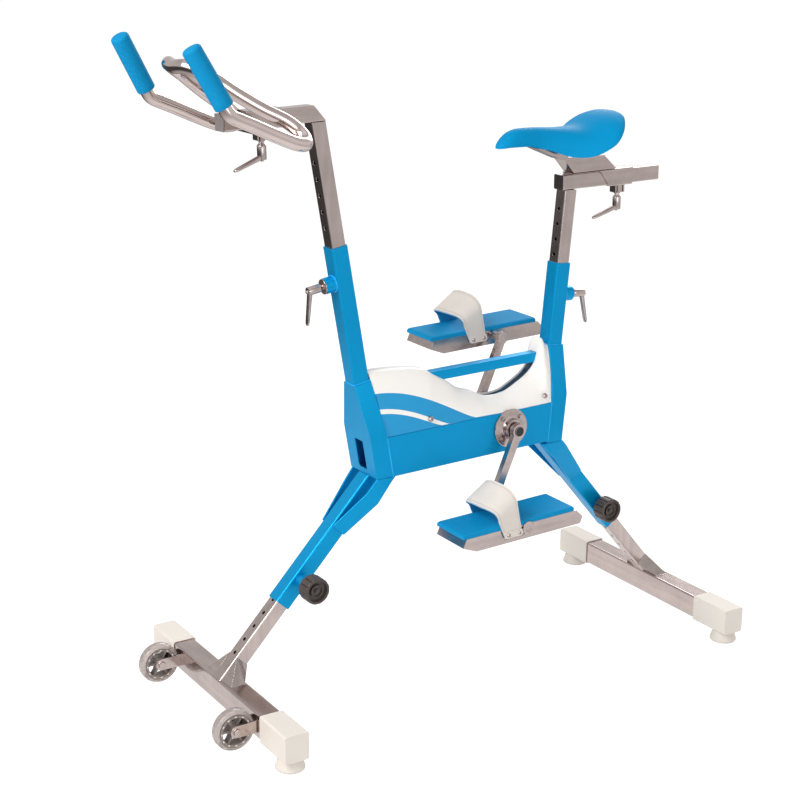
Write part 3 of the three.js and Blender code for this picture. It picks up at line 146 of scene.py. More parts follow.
class Value:
    """A node's output with arithmetic: an expression on values adds its Math nodes."""

    def __init__(self, tree, socket):
        self.tree = tree
        self.socket = socket

    def math(self, operation, *terms):
        """Adds one Math node on terms that are values or numbers."""
        node = self.tree.nodes.new("ShaderNodeMath")
        node.operation = operation
        for target, term in zip(node.inputs, terms):
            if isinstance(term, Value):
                self.tree.links.new(term.socket, target)
            else:
                target.default_value = term
        return Value(self.tree, node.outputs[0])

    def __add__(self, other):
        return self.math('ADD', self, other)

    def __sub__(self, other):
        return self.math('SUBTRACT', self, other)

    def __mul__(self, other):
        return self.math('MULTIPLY', self, other)

    def __truediv__(self, other):
        return self.math('DIVIDE', self, other)

    def __radd__(self, other):
        return self.math('ADD', other, self)

    def __rsub__(self, other):
        return self.math('SUBTRACT', other, self)

    def __rmul__(self, other):
        return self.math('MULTIPLY', other, self)

    def __pow__(self, exponent):
        return self.math('POWER', self, exponent)

    def __abs__(self):
        return self.math('ABSOLUTE', self)

    def at_least(self, low):
        return self.math('MAXIMUM', self, low)

    def at_most(self, high):
        return self.math('MINIMUM', self, high)

    def above(self, edge, soft):
        """0 below the edge and 1 above it, over a soft width."""
        return ((self - edge) / soft + 0.5).at_least(0.0).at_most(1.0)

    def below(self, edge, soft):
        return 1.0 - self.above(edge, soft)


class Tree:
    """A node tree that is built node by node."""

    def __init__(self, tree):
        self.tree = tree

    def node(self, kind, settings=None, sockets=None, out=0):
        """Adds a node with its settings and the values or links of its sockets, and gives an output."""
        node = self.tree.nodes.new(kind)
        for key, value in (settings or {}).items():
            setattr(node, key, value)
        for key, value in (sockets or {}).items():
            if isinstance(value, Value):
                self.tree.links.new(value.socket, node.inputs[key])
            else:
                node.inputs[key].default_value = value
        return Value(self.tree, node.outputs[out]) if node.outputs else None

    def outputs(self, kind, names, sockets=None):
        """Adds a node and gives several of its outputs."""
        node = self.node(kind, sockets=sockets).socket.node
        return [Value(self.tree, node.outputs[name]) for name in names]


class Shader(Tree):
    """The shader of a material or a world."""

    def __init__(self, owner, ending):
        owner.use_nodes = True
        super().__init__(owner.node_tree)
        self.tree.nodes.clear()
        self.ending = ending

    def end(self, shader):
        """Joins a shader to the output."""
        self.node(self.ending, sockets={"Surface": shader})

    def places(self, kind):
        """X, Y and Z of one kind of texture coordinate."""
        spot = self.node("ShaderNodeTexCoord", out=kind)
        return self.outputs("ShaderNodeSeparateXYZ", "XYZ", {"Vector": spot})

    def rays(self):
        """1 for camera, glossy and transmission rays, in that order."""
        return self.outputs("ShaderNodeLightPath", ("Is Camera Ray", "Is Glossy Ray", "Is Transmission Ray"))

    def attribute(self, name):
        return self.node("ShaderNodeAttribute", {"attribute_name": name}, out="Fac")

    def noise(self, scale, detail=2.0, roughness=0.5, stretch=(1, 1, 1)):
        """Noise on the piece's own coordinates, drawn out along an axis whose stretch is small."""
        spot = self.node("ShaderNodeTexCoord", out="Object")
        place = self.node("ShaderNodeMapping", sockets={"Vector": spot, "Scale": stretch})
        return self.node("ShaderNodeTexNoise", sockets={
            "Vector": place, "Scale": scale, "Detail": detail, "Roughness": roughness})

    def mix(self, factor, first, second):
        """Mixes two colours, through the colour sockets of a Mix node."""
        first, second = [tone if isinstance(tone, Value) else (*tone, 1) for tone in (first, second)]
        return self.node("ShaderNodeMix", {"data_type": 'RGBA'}, {0: factor, 6: first, 7: second}, 2)

    def bump(self, height, strength, distance):
        return self.node("ShaderNodeBump", sockets={
            "Height": height, "Strength": strength, "Distance": distance})


SURFACE_SOCKETS = {
    "color": "Base Color", "roughness": "Roughness", "metallic": "Metallic", "normal": "Normal",
    "coat": "Coat Weight", "coat_roughness": "Coat Roughness", "specular": "Specular IOR Level",
    "transmission": "Transmission Weight", "ior": "IOR"}


class Finish(Shader):
    """A procedural material."""

    def __init__(self, name):
        self.material = bpy.data.materials.new(name)
        super().__init__(self.material, "ShaderNodeOutputMaterial")

    def surface(self, **looks):
        """Ends the material in one shader with the given looks."""
        sockets = {SURFACE_SOCKETS[look]: value for look, value in looks.items()}
        self.end(self.node("ShaderNodeBsdfPrincipled", sockets=sockets))
        return self.material


# Finishes

def tinted(base, amount):
    """A colour made lighter or darker, within 0 and 1."""
    return tuple(min(1.0, max(0.0, channel * amount)) for channel in base)


def paint_finish():
    """Glossy blue paint over welded plate: a slight orange peel, faint smudges and a clear coat."""
    finish = Finish("frame_paint")
    base = colours().paint
    tone = finish.mix(finish.noise(3.5, 3.0), tinted(base, 0.9), tinted(base, 1.12))
    peel = finish.noise(520.0, 1.0)
    smudge = finish.noise(22.0, 4.0, 0.6)
    return finish.surface(color=tone, roughness=0.26 + 0.14 * smudge, metallic=0.5, coat=0.06,
                          coat_roughness=0.08, specular=0.15, normal=finish.bump(peel, 0.06, 0.0004))


def steel_finish(name, base, rough, stretch, contrast):
    """Stainless steel: fine grain, faint water marks and soft streaking of painted reflection along one axis."""
    finish = Finish(name)
    grain = finish.noise(900.0, 2.0, 0.6, stretch)
    marks = finish.noise(16.0, 4.0, 0.65)
    # The tone's streaking along one axis is painted reflection; the water marks are the steel's own.
    painted_reflection = finish.noise(60.0, 2.0, 0.5, tuple(max(0.08, share) for share in stretch))
    marks_and_painted_reflection = 0.5 + 2.2 * (0.5 * marks + 0.5 * painted_reflection - 0.5)
    # The tone mixes the faint water marks with painted reflection, darker and lighter along the axis.
    tone = finish.mix(marks_and_painted_reflection, tinted(base, 1 - contrast), tinted(base, 1 + contrast))
    return finish.surface(color=tone, roughness=rough + 0.06 * grain + 0.06 * marks, metallic=1.0,
                          normal=finish.bump(grain, 0.04, 0.0002))


def plastic_finish(name, base, rough, grain_scale, depth, spread, specular):
    """Moulded plastic or rubber with a fine surface grain."""
    finish = Finish(name)
    grain = finish.noise(grain_scale)
    tone = finish.mix(finish.noise(9.0, 3.0), tinted(base, 1 - spread), tinted(base, 1 + spread))
    return finish.surface(color=tone, roughness=rough + 0.1 * grain, specular=specular,
                          normal=finish.bump(grain, 0.25, depth))


def fairing_finish():
    """White moulded shell with plain blue bands that sweep along its sides."""
    finish = Finish("fairing_shell")
    along, across, up = finish.places("Object")
    run = along - (SHIFT + FAIRING_FRONT * MM)
    blur, crown_edge = 0.0008, 0.0145
    # Upper edges of the blue and of the white stripe's two sides: reach, rise at the front and lowest level.
    blue_edge, stripe_top, stripe_foot = (0.230, 0.078, 0.522), (0.166, 0.051, 0.519), (0.148, 0.042, 0.519)

    def falling(reach, rise, foot):
        """A height that falls off along the shell and meets the beam after its reach."""
        share = run / reach
        return foot + rise * (1.0 - share * share).at_least(0.0) ** 1.3
    band = up.below(falling(*blue_edge), blur)
    stripe = up.below(falling(*stripe_top), blur) * up.above(falling(*stripe_foot), blur)
    mask = band * (1.0 - stripe) * abs(across).above(crown_edge, blur)
    drift = finish.noise(8.0, 3.0)
    white, blue = colours().shell, tinted(colours().paint, 0.95)
    ground = finish.mix(drift, tinted(white, 0.97), tinted(white, 1.03))
    printed = finish.mix(drift, tinted(blue, 0.85), tinted(blue, 1.2))
    grain = finish.noise(420.0)
    return finish.surface(color=finish.mix(mask, ground, printed), roughness=0.34 + 0.1 * grain,
                          coat=0.15, normal=finish.bump(grain, 0.12, 0.0003))


def strap_finish():
    """Moulded rubber strap: white outside with a groove near each edge darkened by painted shade, and a blue
    lining.
    """
    finish = Finish("strap_rubber")
    white, blue = colours().strap, colours().soft
    drift = finish.noise(30.0, 4.0)
    edge = abs(finish.attribute("across") - 0.5)
    groove = edge.above(0.40, 0.02) * edge.below(0.435, 0.02)
    outer = finish.mix(drift, tinted(white, 0.93), tinted(white, 1.04))
    # Darkening the white inside the groove is painted shade.
    outer = finish.mix(0.45 * groove, outer, tinted(white, 0.6))
    inner = finish.mix(drift, tinted(blue, 0.8), tinted(blue, 1.1))
    tone = finish.mix(finish.attribute("lining"), outer, inner)
    grain = finish.noise(700.0, 3.0)
    return finish.surface(color=tone, roughness=0.55 + 0.12 * grain,
                          normal=finish.bump(grain - 3.0 * groove, 0.3, 0.0004))


def clear_finish():
    """Clear plastic tyre that lets the core show through."""
    finish = Finish("clear_tyre")
    ripple = finish.noise(60.0)
    return finish.surface(color=(*colours().tyre, 1), roughness=0.1 + 0.08 * ripple, transmission=0.6,
                          ior=1.42, normal=finish.bump(ripple, 0.1, 0.0005))


def steels(tones):
    """Material name, tone, roughness, stretch of the grain and painted reflection, and contrast of the water marks
    and painted reflection, of each steel.
    """
    return {
        "steel": ("satin_steel", tones.steel, 0.16, (1, 1, 1), 0.2),
        "steel_x": ("brushed_along_x", tones.polished, 0.10, (0.04, 1, 1), 0.2),
        "steel_y": ("brushed_along_y", tones.polished, 0.10, (1, 0.04, 1), 0.2),
        "steel_z": ("brushed_along_z", tones.polished, 0.10, (1, 1, 0.04), 0.2),
        "mirror": ("polished_tube", tinted(tones.polished, 1.2), 0.05, (0.2, 0.2, 0.2), 0.1),
        "tray": ("tray_steel", tinted(tones.steel, 0.95), 0.14, (0.04, 1, 1), 0.2),
    }


def plastics(tones):
    """Material name, tone, roughness, grain scale and depth, spread of tone and gloss of each plastic."""
    return {
        # The weld bead is the frame paint made lighter: a painted highlight along the seams.
        "weld": ("weld_bead", tinted(tones.paint, 1.25), 0.3, 160.0, 0.0012, 0.12, 0.5),
        "cap": ("cap_plastic", tones.cap, 0.42, 380.0, 0.0004, 0.03, 0.5),
        "foot": ("foot_rubber", tinted(tones.cap, 0.95), 0.5, 500.0, 0.0004, 0.03, 0.5),
        "knob": ("knob_plastic", tones.knob, 0.3, 600.0, 0.0005, 0.2, 0.5),
        "plug": ("plug_plastic", tones.plug, 0.4, 500.0, 0.0004, 0.15, 0.5),
        "grip": ("grip_foam", tinted(tones.soft, 0.9), 0.62, 900.0, 0.0006, 0.05, 0.15),
        "saddle": ("saddle_skin", tones.soft, 0.5, 650.0, 0.0005, 0.05, 0.08),
        "pad": ("pad_foam", tones.soft, 0.6, 800.0, 0.0007, 0.05, 0.15),
        "dust_cap": ("dust_cap_plastic", tones.dust_cap, 0.5, 500.0, 0.0004, 0.2, 0.5),
        "core": ("wheel_core", tones.core, 0.35, 500.0, 0.0003, 0.03, 0.5),
    }


OWN_FINISHES = {"paint": paint_finish, "shell": fairing_finish, "strap": strap_finish, "tyre": clear_finish}


@cache
def finish_named(name):
    """Makes each finish once, when a piece first asks for it."""
    steel, plastic = steels(colours()), plastics(colours())
    if name in steel:
        return steel_finish(*steel[name])
    if name in plastic:
        return plastic_finish(*plastic[name])
    return OWN_FINISHES[name]()


# Mesh helpers

def new_object(name, mesh):
    piece = bpy.data.objects.new(name, mesh)
    bpy.context.scene.collection.objects.link(piece)
    return piece


def mesh_from(name, points, faces=(), edges=()):
    mesh = bpy.data.meshes.new(name)
    mesh.from_pydata([tuple(p) for p in points], edges, faces)
    mesh.update()
    return mesh


@contextmanager
def edited(mesh):
    """An editable copy of a mesh, which is written back at the end."""
    body = bmesh.new()
    body.from_mesh(mesh)
    yield body
    body.to_mesh(mesh)
    body.free()


def evaluated_mesh(piece):
    """A plain mesh of a piece with its modifiers applied."""
    graph = bpy.context.evaluated_depsgraph_get()
    return bpy.data.meshes.new_from_object(piece.evaluated_get(graph))


def smooth_by_angle(mesh, degrees):
    mesh.shade_smooth()
    mesh.set_sharp_from_angle(angle=math.radians(degrees))


def sealed(mesh, sharp):
    """Merges a mesh's seams, turns its faces outwards and makes its edges sharp past an angle."""
    with edited(mesh) as body:
        bmesh.ops.remove_doubles(body, verts=body.verts, dist=1e-6)
        bmesh.ops.recalc_face_normals(body, faces=body.faces)
    smooth_by_angle(mesh, sharp)
    return mesh


def dress(piece, finish, node=None, body=None, slot=None):
    """Gives a piece its material and its body and hides the CAD node that it stands for; the slot is looked up but
    not kept.
    """
    piece.data.materials.clear()
    piece.data.materials.append(finish_named(finish))
    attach(piece, body or BODY_OF[node])
    if node:
        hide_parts(node)
    slot or SLOT_OF[node]
    return piece


def add_bevel(piece, width, degrees=35):
    """Breaks a piece's edges that are sharper than an angle."""
    bevel = piece.modifiers.new("edge", 'BEVEL')
    bevel.width = width
    bevel.segments = 2
    bevel.limit_method = 'ANGLE'
    bevel.angle_limit = math.radians(degrees)
    bevel.miter_outer = 'MITER_ARC'


def refined(node, finish, bevel=None, degrees=38):
    """A copy of a CAD node with its flat facets merged and its edges broken."""
    mesh = NODES[node].data.copy()
    mesh.name = node + "_body"
    with edited(mesh) as body:
        bmesh.ops.remove_doubles(body, verts=body.verts, dist=2e-6)
        bmesh.ops.dissolve_limit(body, angle_limit=math.radians(0.6), verts=body.verts, edges=body.edges,
                                 use_dissolve_boundaries=False)
    for name in ("custom_normal", "sharp_edge", "sharp_face"):
        if name in mesh.attributes:
            mesh.attributes.remove(mesh.attributes[name])
    mesh.shade_smooth()
    piece = new_object(node + "_body", mesh)
    add_bevel(piece, sizes().edge_bevel if bevel is None else bevel, degrees)
    weighted = piece.modifiers.new("shading", 'WEIGHTED_NORMAL')
    weighted.keep_sharp = True
    weighted.weight = 80
    return dress(piece, finish, node)


def revolved(name, profile, matrix=Matrix.Identity(4), segments=64, sharp=35):
    """A turned piece from (radius, height) pairs about a matrix's Z axis."""
    points, rings, faces = [], [], []
    closed = profile[0] == profile[-1]
    for radius, height in profile[:-1] if closed else profile:
        spots = turns(segments if radius else 1)
        rings.append(range(len(points), len(points) + len(spots)))
        points += [matrix @ polar(radius, turn, height) for turn in spots]
    if closed:
        rings.append(rings[0])
    for low, high in zip(rings, rings[1:]):
        for i in range(segments):
            j = (i + 1) % segments
            corners = (low[i % len(low)], low[j % len(low)], high[j % len(high)], high[i % len(high)])
            faces.append(tuple(dict.fromkeys(corners)))
    return new_object(name, sealed(mesh_from(name, points, faces), sharp))


def sleeve(inner, outer, low, high):
    """The closed profile of a plain ring, for a turned piece."""
    return [(inner, low), (outer, low), (outer, high), (inner, high), (inner, low)]


def lofted(name, rings, sharp=50):
    """A skin through rings of equally many points, with flat ends."""
    count, last = len(rings[0]), (len(rings) - 1) * len(rings[0])
    faces = []
    for first in range(0, last, count):
        for i in range(count):
            j = (i + 1) % count
            faces.append((first + i, first + j, first + count + j, first + count + i))
    faces += [tuple(range(count)), tuple(range(last, last + count))]
    return new_object(name, sealed(mesh_from(name, [p for ring in rings for p in ring], faces), sharp))


def bar_along_x(name, stations):
    """A square bar through stations of (x, half width, half depth)."""
    return lofted(name, [[Vector((x, y * wide, z * deep)) for y, z in ((-1, -1), (1, -1), (1, 1), (-1, 1))]
                         for x, wide, deep in stations])


def merged(name, pieces, sharp=None):
    """Joins several loose objects into one mesh and removes them."""
    mesh = bpy.data.meshes.new(name)
    with edited(mesh) as body:
        for piece in pieces:
            body.from_mesh(evaluated_mesh(piece))
    for piece in pieces:
        bpy.data.objects.remove(piece)
    if sharp is not None:
        smooth_by_angle(mesh, sharp)
    return new_object(name, mesh)


def carved(piece, *cutters):
    """Cuts the cutters out of a piece and removes them."""
    for cutter in cutters:
        cut = piece.modifiers.new("cut", 'BOOLEAN')
        cut.operation, cut.solver, cut.object = 'DIFFERENCE', 'EXACT', cutter
    mesh = evaluated_mesh(piece)
    piece.modifiers.clear()
    piece.data = mesh
    for cutter in cutters:
        bpy.data.objects.remove(cutter)


def axis_matrix(origin, axis, side=None):
    """A matrix whose Z lies along an axis at a point, X near a side direction."""
    z = Vector(axis).normalized()
    guide = Vector(side) if side else (Vector((1, 0, 0)) if abs(z.x) < 0.9 else Vector((0, 0, 1)))
    x = (guide - z * guide.dot(z)).normalized()
    return Matrix.Translation(Vector(origin)) @ Matrix((x, z.cross(x), z)).transposed().to_4x4()


# Curves

def hermite(start, leave, end, arrive, t):
    """A cubic from start to end with the given tangents, for numbers or vectors."""
    return (start * (2 * t ** 3 - 3 * t ** 2 + 1) + leave * (t ** 3 - 2 * t ** 2 + t)
            + end * (-2 * t ** 3 + 3 * t ** 2) + arrive * (t ** 3 - t ** 2))


def between(rows, place):
    """The height at a place of a smooth curve through rows of (place, height), without overshoot."""
    if place <= rows[0][0]:
        return rows[0][1]
    if place >= rows[-1][0]:
        return rows[-1][1]
    slopes = [(b[1] - a[1]) / (b[0] - a[0]) for a, b in zip(rows, rows[1:])]

    def tangent(i):
        if i in (0, len(slopes)):
            return slopes[i - 1 if i else 0]
        before, after = slopes[i - 1], slopes[i]
        return 2 * before * after / (before + after) if before * after > 0 else 0.0
    k = max(i for i, row in enumerate(rows) if row[0] <= place)
    (x0, y0), (x1, y1) = rows[k], rows[k + 1]
    width = x1 - x0
    return hermite(y0, tangent(k) * width, y1, tangent(k + 1) * width, (place - x0) / width)


def centripetal(points, steps):
    """A centripetal Catmull-Rom curve through the points, evenly sampled between each two."""
    padded = [2 * points[0] - points[1], *points, 2 * points[-1] - points[-2]]
    result = []
    for p0, p1, p2, p3 in zip(padded, padded[1:], padded[2:], padded[3:]):
        d0, d1, d2 = [max((b - a).length ** 0.5, 1e-6) for a, b in ((p0, p1), (p1, p2), (p2, p3))]
        leave = ((p1 - p0) / d0 - (p2 - p0) / (d0 + d1) + (p2 - p1) / d1) * d1
        arrive = ((p2 - p1) / d1 - (p3 - p1) / (d1 + d2) + (p3 - p2) / d2) * d1
        result += [hermite(p1, leave, p2, arrive, i / steps) for i in range(steps)]
    return result + [points[-1]]


# Geometry node trees

class Shape(Tree):
    """A Geometry Nodes tree with named inputs, which ends in Realize Instances and Set Material."""

    def __init__(self, name, **inputs):
        super().__init__(bpy.data.node_groups.new(name, 'GeometryNodeTree'))
        interface = self.tree.interface
        for label, kind in {"Geometry": "Geometry", **inputs, "Material": "Material"}.items():
            interface.new_socket(label, in_out='INPUT', socket_type='NodeSocket' + kind)
        interface.new_socket("Geometry", in_out='OUTPUT', socket_type='NodeSocketGeometry')

    def given(self, label):
        """One of the tree's own inputs."""
        return self.node('NodeGroupInput', out=label)

    def end(self, geometry):
        """Realizes the instances, sets the material and ends the tree."""
        real = self.node('GeometryNodeRealizeInstances', sockets={0: geometry})
        paint = self.node('GeometryNodeSetMaterial', sockets={
            "Geometry": real, "Material": self.given("Material")})
        self.node('NodeGroupOutput', sockets={0: paint})
        return self.tree


@cache
def tube_tree():
    """A round tube swept along the object's edges."""
    shape = Shape("tube_along_path", Radius="Float", Sides="Int")
    curve = shape.node('GeometryNodeMeshToCurve', sockets={"Mesh": shape.given("Geometry")})
    circle = shape.node('GeometryNodeCurvePrimitiveCircle', sockets={
        "Radius": shape.given("Radius"), "Resolution": shape.given("Sides")})
    sweep = shape.node('GeometryNodeCurveToMesh', sockets={
        "Curve": curve, "Profile Curve": circle, "Fill Caps": True})
    return shape.end(shape.node('GeometryNodeSetShadeSmooth', sockets={"Geometry": sweep}))


@cache
def scatter_tree():
    """One copy of a small part at every point, its Z along the point's facing and X near its guide."""
    shape = Shape("parts_on_points", Part="Object")
    facing, guide = [shape.node('GeometryNodeInputNamedAttribute', {"data_type": 'FLOAT_VECTOR'},
                                {"Name": name}, "Attribute") for name in ("facing", "guide")]
    part = shape.node('GeometryNodeObjectInfo', sockets={"Object": shape.given("Part")}, out="Geometry")
    align = shape.node('FunctionNodeAxesToRotation', {"primary_axis": 'Z', "secondary_axis": 'X'},
                       {"Primary Axis": facing, "Secondary Axis": guide})
    return shape.end(shape.node('GeometryNodeInstanceOnPoints', sockets={
        "Points": shape.given("Geometry"), "Instance": part, "Rotation": align}))


def run_tree(name, source, tree, **values):
    """Runs a tree on a mesh and keeps the result as a plain mesh object."""
    carrier = new_object(name, source)
    modifier = carrier.modifiers.new("shape", 'NODES')
    modifier.node_group = tree
    for item in tree.interface.items_tree:
        if item.in_out == 'INPUT' and item.name in values:
            modifier[item.identifier] = values[item.name]
    mesh = evaluated_mesh(carrier)
    carrier.modifiers.remove(modifier)
    carrier.data = mesh
    mesh.name = name
    return carrier


def swept_tube(name, path, radius, finish, sides):
    """A round tube along a path, with smooth walls and sharp ends."""
    mesh = mesh_from(name + "_path", path, edges=[(i, i + 1) for i in range(len(path) - 1)])
    piece = run_tree(name, mesh, tube_tree(), Radius=radius, Sides=sides, Material=finish_named(finish))
    sealed(piece.data, 50)
    return piece


def scattered(name, part, spots, finish):
    """Copies of a part at (place, facing, guide) spots, as one mesh; the source part is removed."""
    places, facings, guides = zip(*spots)
    mesh = mesh_from(name + "_spots", places)
    for label, vectors in (("facing", facings), ("guide", guides)):
        layer = mesh.attributes.new(label, 'FLOAT_VECTOR', 'POINT')
        for item, vector in zip(layer.data, vectors):
            item.vector = tuple(vector)
    piece = run_tree(name, mesh, scatter_tree(), Part=part, Material=finish_named(finish))
    bpy.data.objects.remove(part)
    return piece


def around(count):
    """Spots on Z for parts that start at the centre and point outwards along X."""
    return [((0, 0, 0), (0, 0, 1), polar(1, turn)) for turn in turns(count)]


# Fasteners

def screw_head(name, radius, height):
    """A domed head with a round socket."""
    rows = ((0, 0), (0.96, 0), (1, 0.2), (0.92, 0.62), (0.66, 0.93), (0.5, 1), (0.48, 0.35), (0, 0.35))
    return revolved(name, [(radius * r, height * h) for r, h in rows], segments=24)


def hex_head(name, across, height):
    """A hexagon head with a broken edge and a washer under it."""
    corners = turns(24)
    flat, shoulder, chamfer = height * 0.2, height * 0.85, 0.88

    def hexagon(share, level):
        return [polar(share * across / 2 / math.cos((turn % (math.pi / 3)) - math.pi / 6), turn, level)
                for turn in corners]
    washer = [[polar(across * 0.62, turn, level) for turn in corners] for level in (0, flat)]
    nut = [hexagon(1, flat), hexagon(1, shoulder), hexagon(chamfer, height)]
    return merged(name, [lofted(name + "_washer", washer), lofted(name + "_nut", nut)], 30)


# Frame

FRAME_NODES = ["main_beam", "front_node", "rear_node", "mast_sleeve", "seat_sleeve", "front_leg_sleeve",
               "rear_leg_sleeve", "front_cheek_left", "front_cheek_right", "rear_cheek_left",
               "rear_cheek_right", "top_brace"]

# Each tower: its foot (x, z), its tilt, the heights along it where its sleeve leaves the node and where
# its boss is, and the side that the boss is on.
TOWERS = [((-200, 436), -10.2, 189, 393, -1), ((213.6, 437), 5, 199.6, 304, 1)]

# Each member between the towers: its climb in degrees, its level at X 0, and half its height and width.
MEMBERS = [(1.5, 478.6, 41, 49.3), (1.3, 610.4, 10, 10)]

# Half widths of a sleeve and a node, and radii of a boss and a bead of weld, in mm.
SLEEVE_HALF, NODE_HALF, BOSS_RADIUS, BEAD_RADIUS = 17.7, 18.7, 15.8, 1.3


def seam_loops():
    """Closed runs of weld: round each sleeve and boss, and where the beam and the brace meet each tower."""
    half, proud, lift = SLEEVE_HALF, 0.1, 0.6
    sleeve_edge = [(half, half), (-half, half), (-half, -half), (half, -half)]
    boss_edge = [polar(BOSS_RADIUS, turn) for turn in turns(32)]
    for (foot_x, foot_z), tilt, sleeve_foot, boss, side in TOWERS:
        matrix = Matrix.Translation(at(foot_x, 0, foot_z)) @ Matrix.Rotation(math.radians(tilt), 4, 'Y')
        yield [matrix @ mm(x, y, sleeve_foot + lift) for x, y in sleeve_edge]
        yield [matrix @ mm(side * (half + proud), spot.x, boss + spot.y) for spot in boss_edge]
        slope = math.tan(math.radians(tilt))
        start = foot_x - side * NODE_HALF / math.cos(math.radians(tilt))
        for climb, level, rise, wide in MEMBERS:
            grade = math.tan(math.radians(climb))
            corners = []
            for up, y in ((rise, wide), (rise, -wide), (-rise, -wide), (-rise, wide)):
                x = (start + slope * (level + up - foot_z)) / (1 - slope * grade)
                corners.append(at(x, y, level + up + grade * x))
            yield corners


class AQUABIKE_OT_frame(bpy.types.Operator):
    """Dresses the welded frame and lays a bead of weld round its joints"""
    bl_idname = "aquabike.frame"
    bl_label = "Frame"

    def execute(self, context):
        for node in FRAME_NODES:
            refined(node, "paint")
        for index, loop in enumerate(seam_loops()):
            path = [a.lerp(b, t / 3) for a, b in zip(loop, loop[1:] + loop[:1]) for t in range(3)]
            bead = swept_tube(f"weld_{index}", path + path[:1], BEAD_RADIUS * MM, "weld", 12)
            dress(bead, "weld", body="frame", slot="frame_blue")
        return {'FINISHED'}


# Fairing

# The fairing in mm: its front and length, the base and rise of its ridge and its wall, and the level of
# its foot at X 0 with the half widths of its foot and crown.
FAIRING_FRONT, FAIRING_LENGTH = -214, 420
FAIRING_LEVEL, FAIRING_RISE, FAIRING_WALL = 518, 139, 3
FAIRING_FOOT, FAIRING_HALF, CROWN_HALF = 519.9, 47, 14

# The towers' faces that the fairing's ends lie against: place at the foot, tilt and level of the foot.
FRONT_FACE, REAR_FACE = (-180.9, -10.2, 436), (194.7, 5, 437)

# Openings in the fairing: from and to along X, half width, from and to in height, corner radius and tilt.
TROUGH_SLOT = (52, 186, 10, 400, 700, 5)
BRACE_SLOT = (-260, 260, 10.3, 600.1, 620.7, 1, MEMBERS[1][0])

# The screws on each side, as places along X and in height, and how far from the middle they stand.
FAIRING_SCREWS, SCREW_HALF = [(186, 541), (-93, 536)], 46.4

# Height of the fairing's ridge as a share of its rise, along its length as a share.
FAIRING_RIDGE = [
    (0, 0.878), (0.105, 0.871), (0.227, 0.835), (0.301, 0.791), (0.346, 0.705), (0.427, 0.568),
    (0.506, 0.41), (0.58, 0.335), (0.644, 0.252), (0.702, 0.237), (0.757, 0.256), (0.84, 0.367),
    (0.902, 0.482), (0.945, 0.633), (0.959, 0.78), (0.969, 0.96), (0.98, 0.98), (1, 0.87)]


def leaning(face, level):
    """Where a tower's face is at a level."""
    place, tilt, foot = face
    return place + math.tan(math.radians(tilt)) * (level - foot)


def fairing_arch(x, inset):
    """Points over the beam at one place, from one side to the other, set in from the outside."""
    base = FAIRING_FOOT + math.tan(math.radians(MEMBERS[0][0])) * x
    ridge = between(FAIRING_RIDGE, (x - FAIRING_FRONT) / FAIRING_LENGTH)
    top = FAIRING_LEVEL + FAIRING_RISE * ridge - inset
    wide, narrow, bulge, corner = FAIRING_HALF - inset, CROWN_HALF - inset, 5, 3
    half = [(wide, base), ((wide + narrow) / 2 + bulge, (base + top - corner) / 2),
            (narrow + 1.5, top - corner), (narrow - 4, top)]
    across = half + [(-y, z) for y, z in reversed(half)]
    points = []
    for point in centripetal([Vector((x, y, z)) for y, z in across], 6):
        front, rear = leaning(FRONT_FACE, point.z), leaning(REAR_FACE, point.z)
        points.append(at(min(rear, max(front, point.x)), point.y, point.z))
    return points


def rounded_box(name, x0, x1, half, z0, z1, corner, tilt=0.0):
    """A cutter with rounded upright edges, its top and bottom tilted along X."""
    outline = []
    for cx, cy, first in ((x1 - corner, half - corner, 0), (x0 + corner, half - corner, 90),
                          (x0 + corner, corner - half, 180), (x1 - corner, corner - half, 270)):
        for step in range(7):
            turn = math.radians(first + 15 * step)
            outline.append((cx + corner * math.cos(turn), cy + corner * math.sin(turn)))
    climb = math.tan(math.radians(tilt))
    return lofted(name, [[at(x, y, z + climb * x) for x, y in outline] for z in (z0, z1)])


class AQUABIKE_OT_fairing(bpy.types.Operator):
    """Makes the moulded fairing with its trough and horn, and adds its screws"""
    bl_idname = "aquabike.fairing"
    bl_label = "Fairing"

    def execute(self, context):
        start, end, steps = -219, 214.5, 140
        rings = []
        for i in range(steps + 1):
            x = start + (end - start) * i / steps
            rings.append(fairing_arch(x, 0) + fairing_arch(x, FAIRING_WALL)[::-1])
        shell = lofted("fairing_shell", rings, 40)
        carved(shell, rounded_box("slot_cutter", *TROUGH_SLOT), rounded_box("brace_cutter", *BRACE_SLOT))
        smooth_by_angle(shell.data, 40)
        add_bevel(shell, 0.0006, 50)
        dress(shell, "shell", "fairing")
        head = screw_head("fairing_screw_source", 0.0058, 0.003)
        spots = [(at(x, way * SCREW_HALF, z), (0, way, 0.25), (1, 0, 0)) for x, z in FAIRING_SCREWS
                 for _, way in SIDES]
        dress(scattered("fairing_screws", head, spots, "steel"), "steel", body="frame", slot="steel")
        return {'FINISHED'}


# Sliding members, bars and feet

STEEL_NODES = {"handlebar_post": "steel_z", "seat_post": "steel_z", "handlebar_stem": "steel_x",
               "seat_rail": "steel_x", "handlebar_slider": "steel_x", "seat_slider": "steel_x",
               "saddle_bracket": "steel_x", "front_leg_tube": "steel_z", "rear_leg_tube": "steel_z",
               "front_bar": "steel_y", "rear_bar": "steel_y"}

# Where the plate under the saddle's nose starts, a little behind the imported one.
SADDLE_PLATE_FRONT = 170


class AQUABIKE_OT_steelwork(bpy.types.Operator):
    """Dresses the sliding tubes, sliders and stabiliser bars"""
    bl_idname = "aquabike.steelwork"
    bl_label = "Steelwork"

    def execute(self, context):
        for node, finish in STEEL_NODES.items():
            piece = refined(node, finish, 0.0008)
            if node == "saddle_bracket":
                front = at(SADDLE_PLATE_FRONT, 0, 0).x
                for vertex in piece.data.vertices:
                    vertex.co.x = max(vertex.co.x, front)
        refined("stem_plug", "plug", 0.0012)
        return {'FINISHED'}


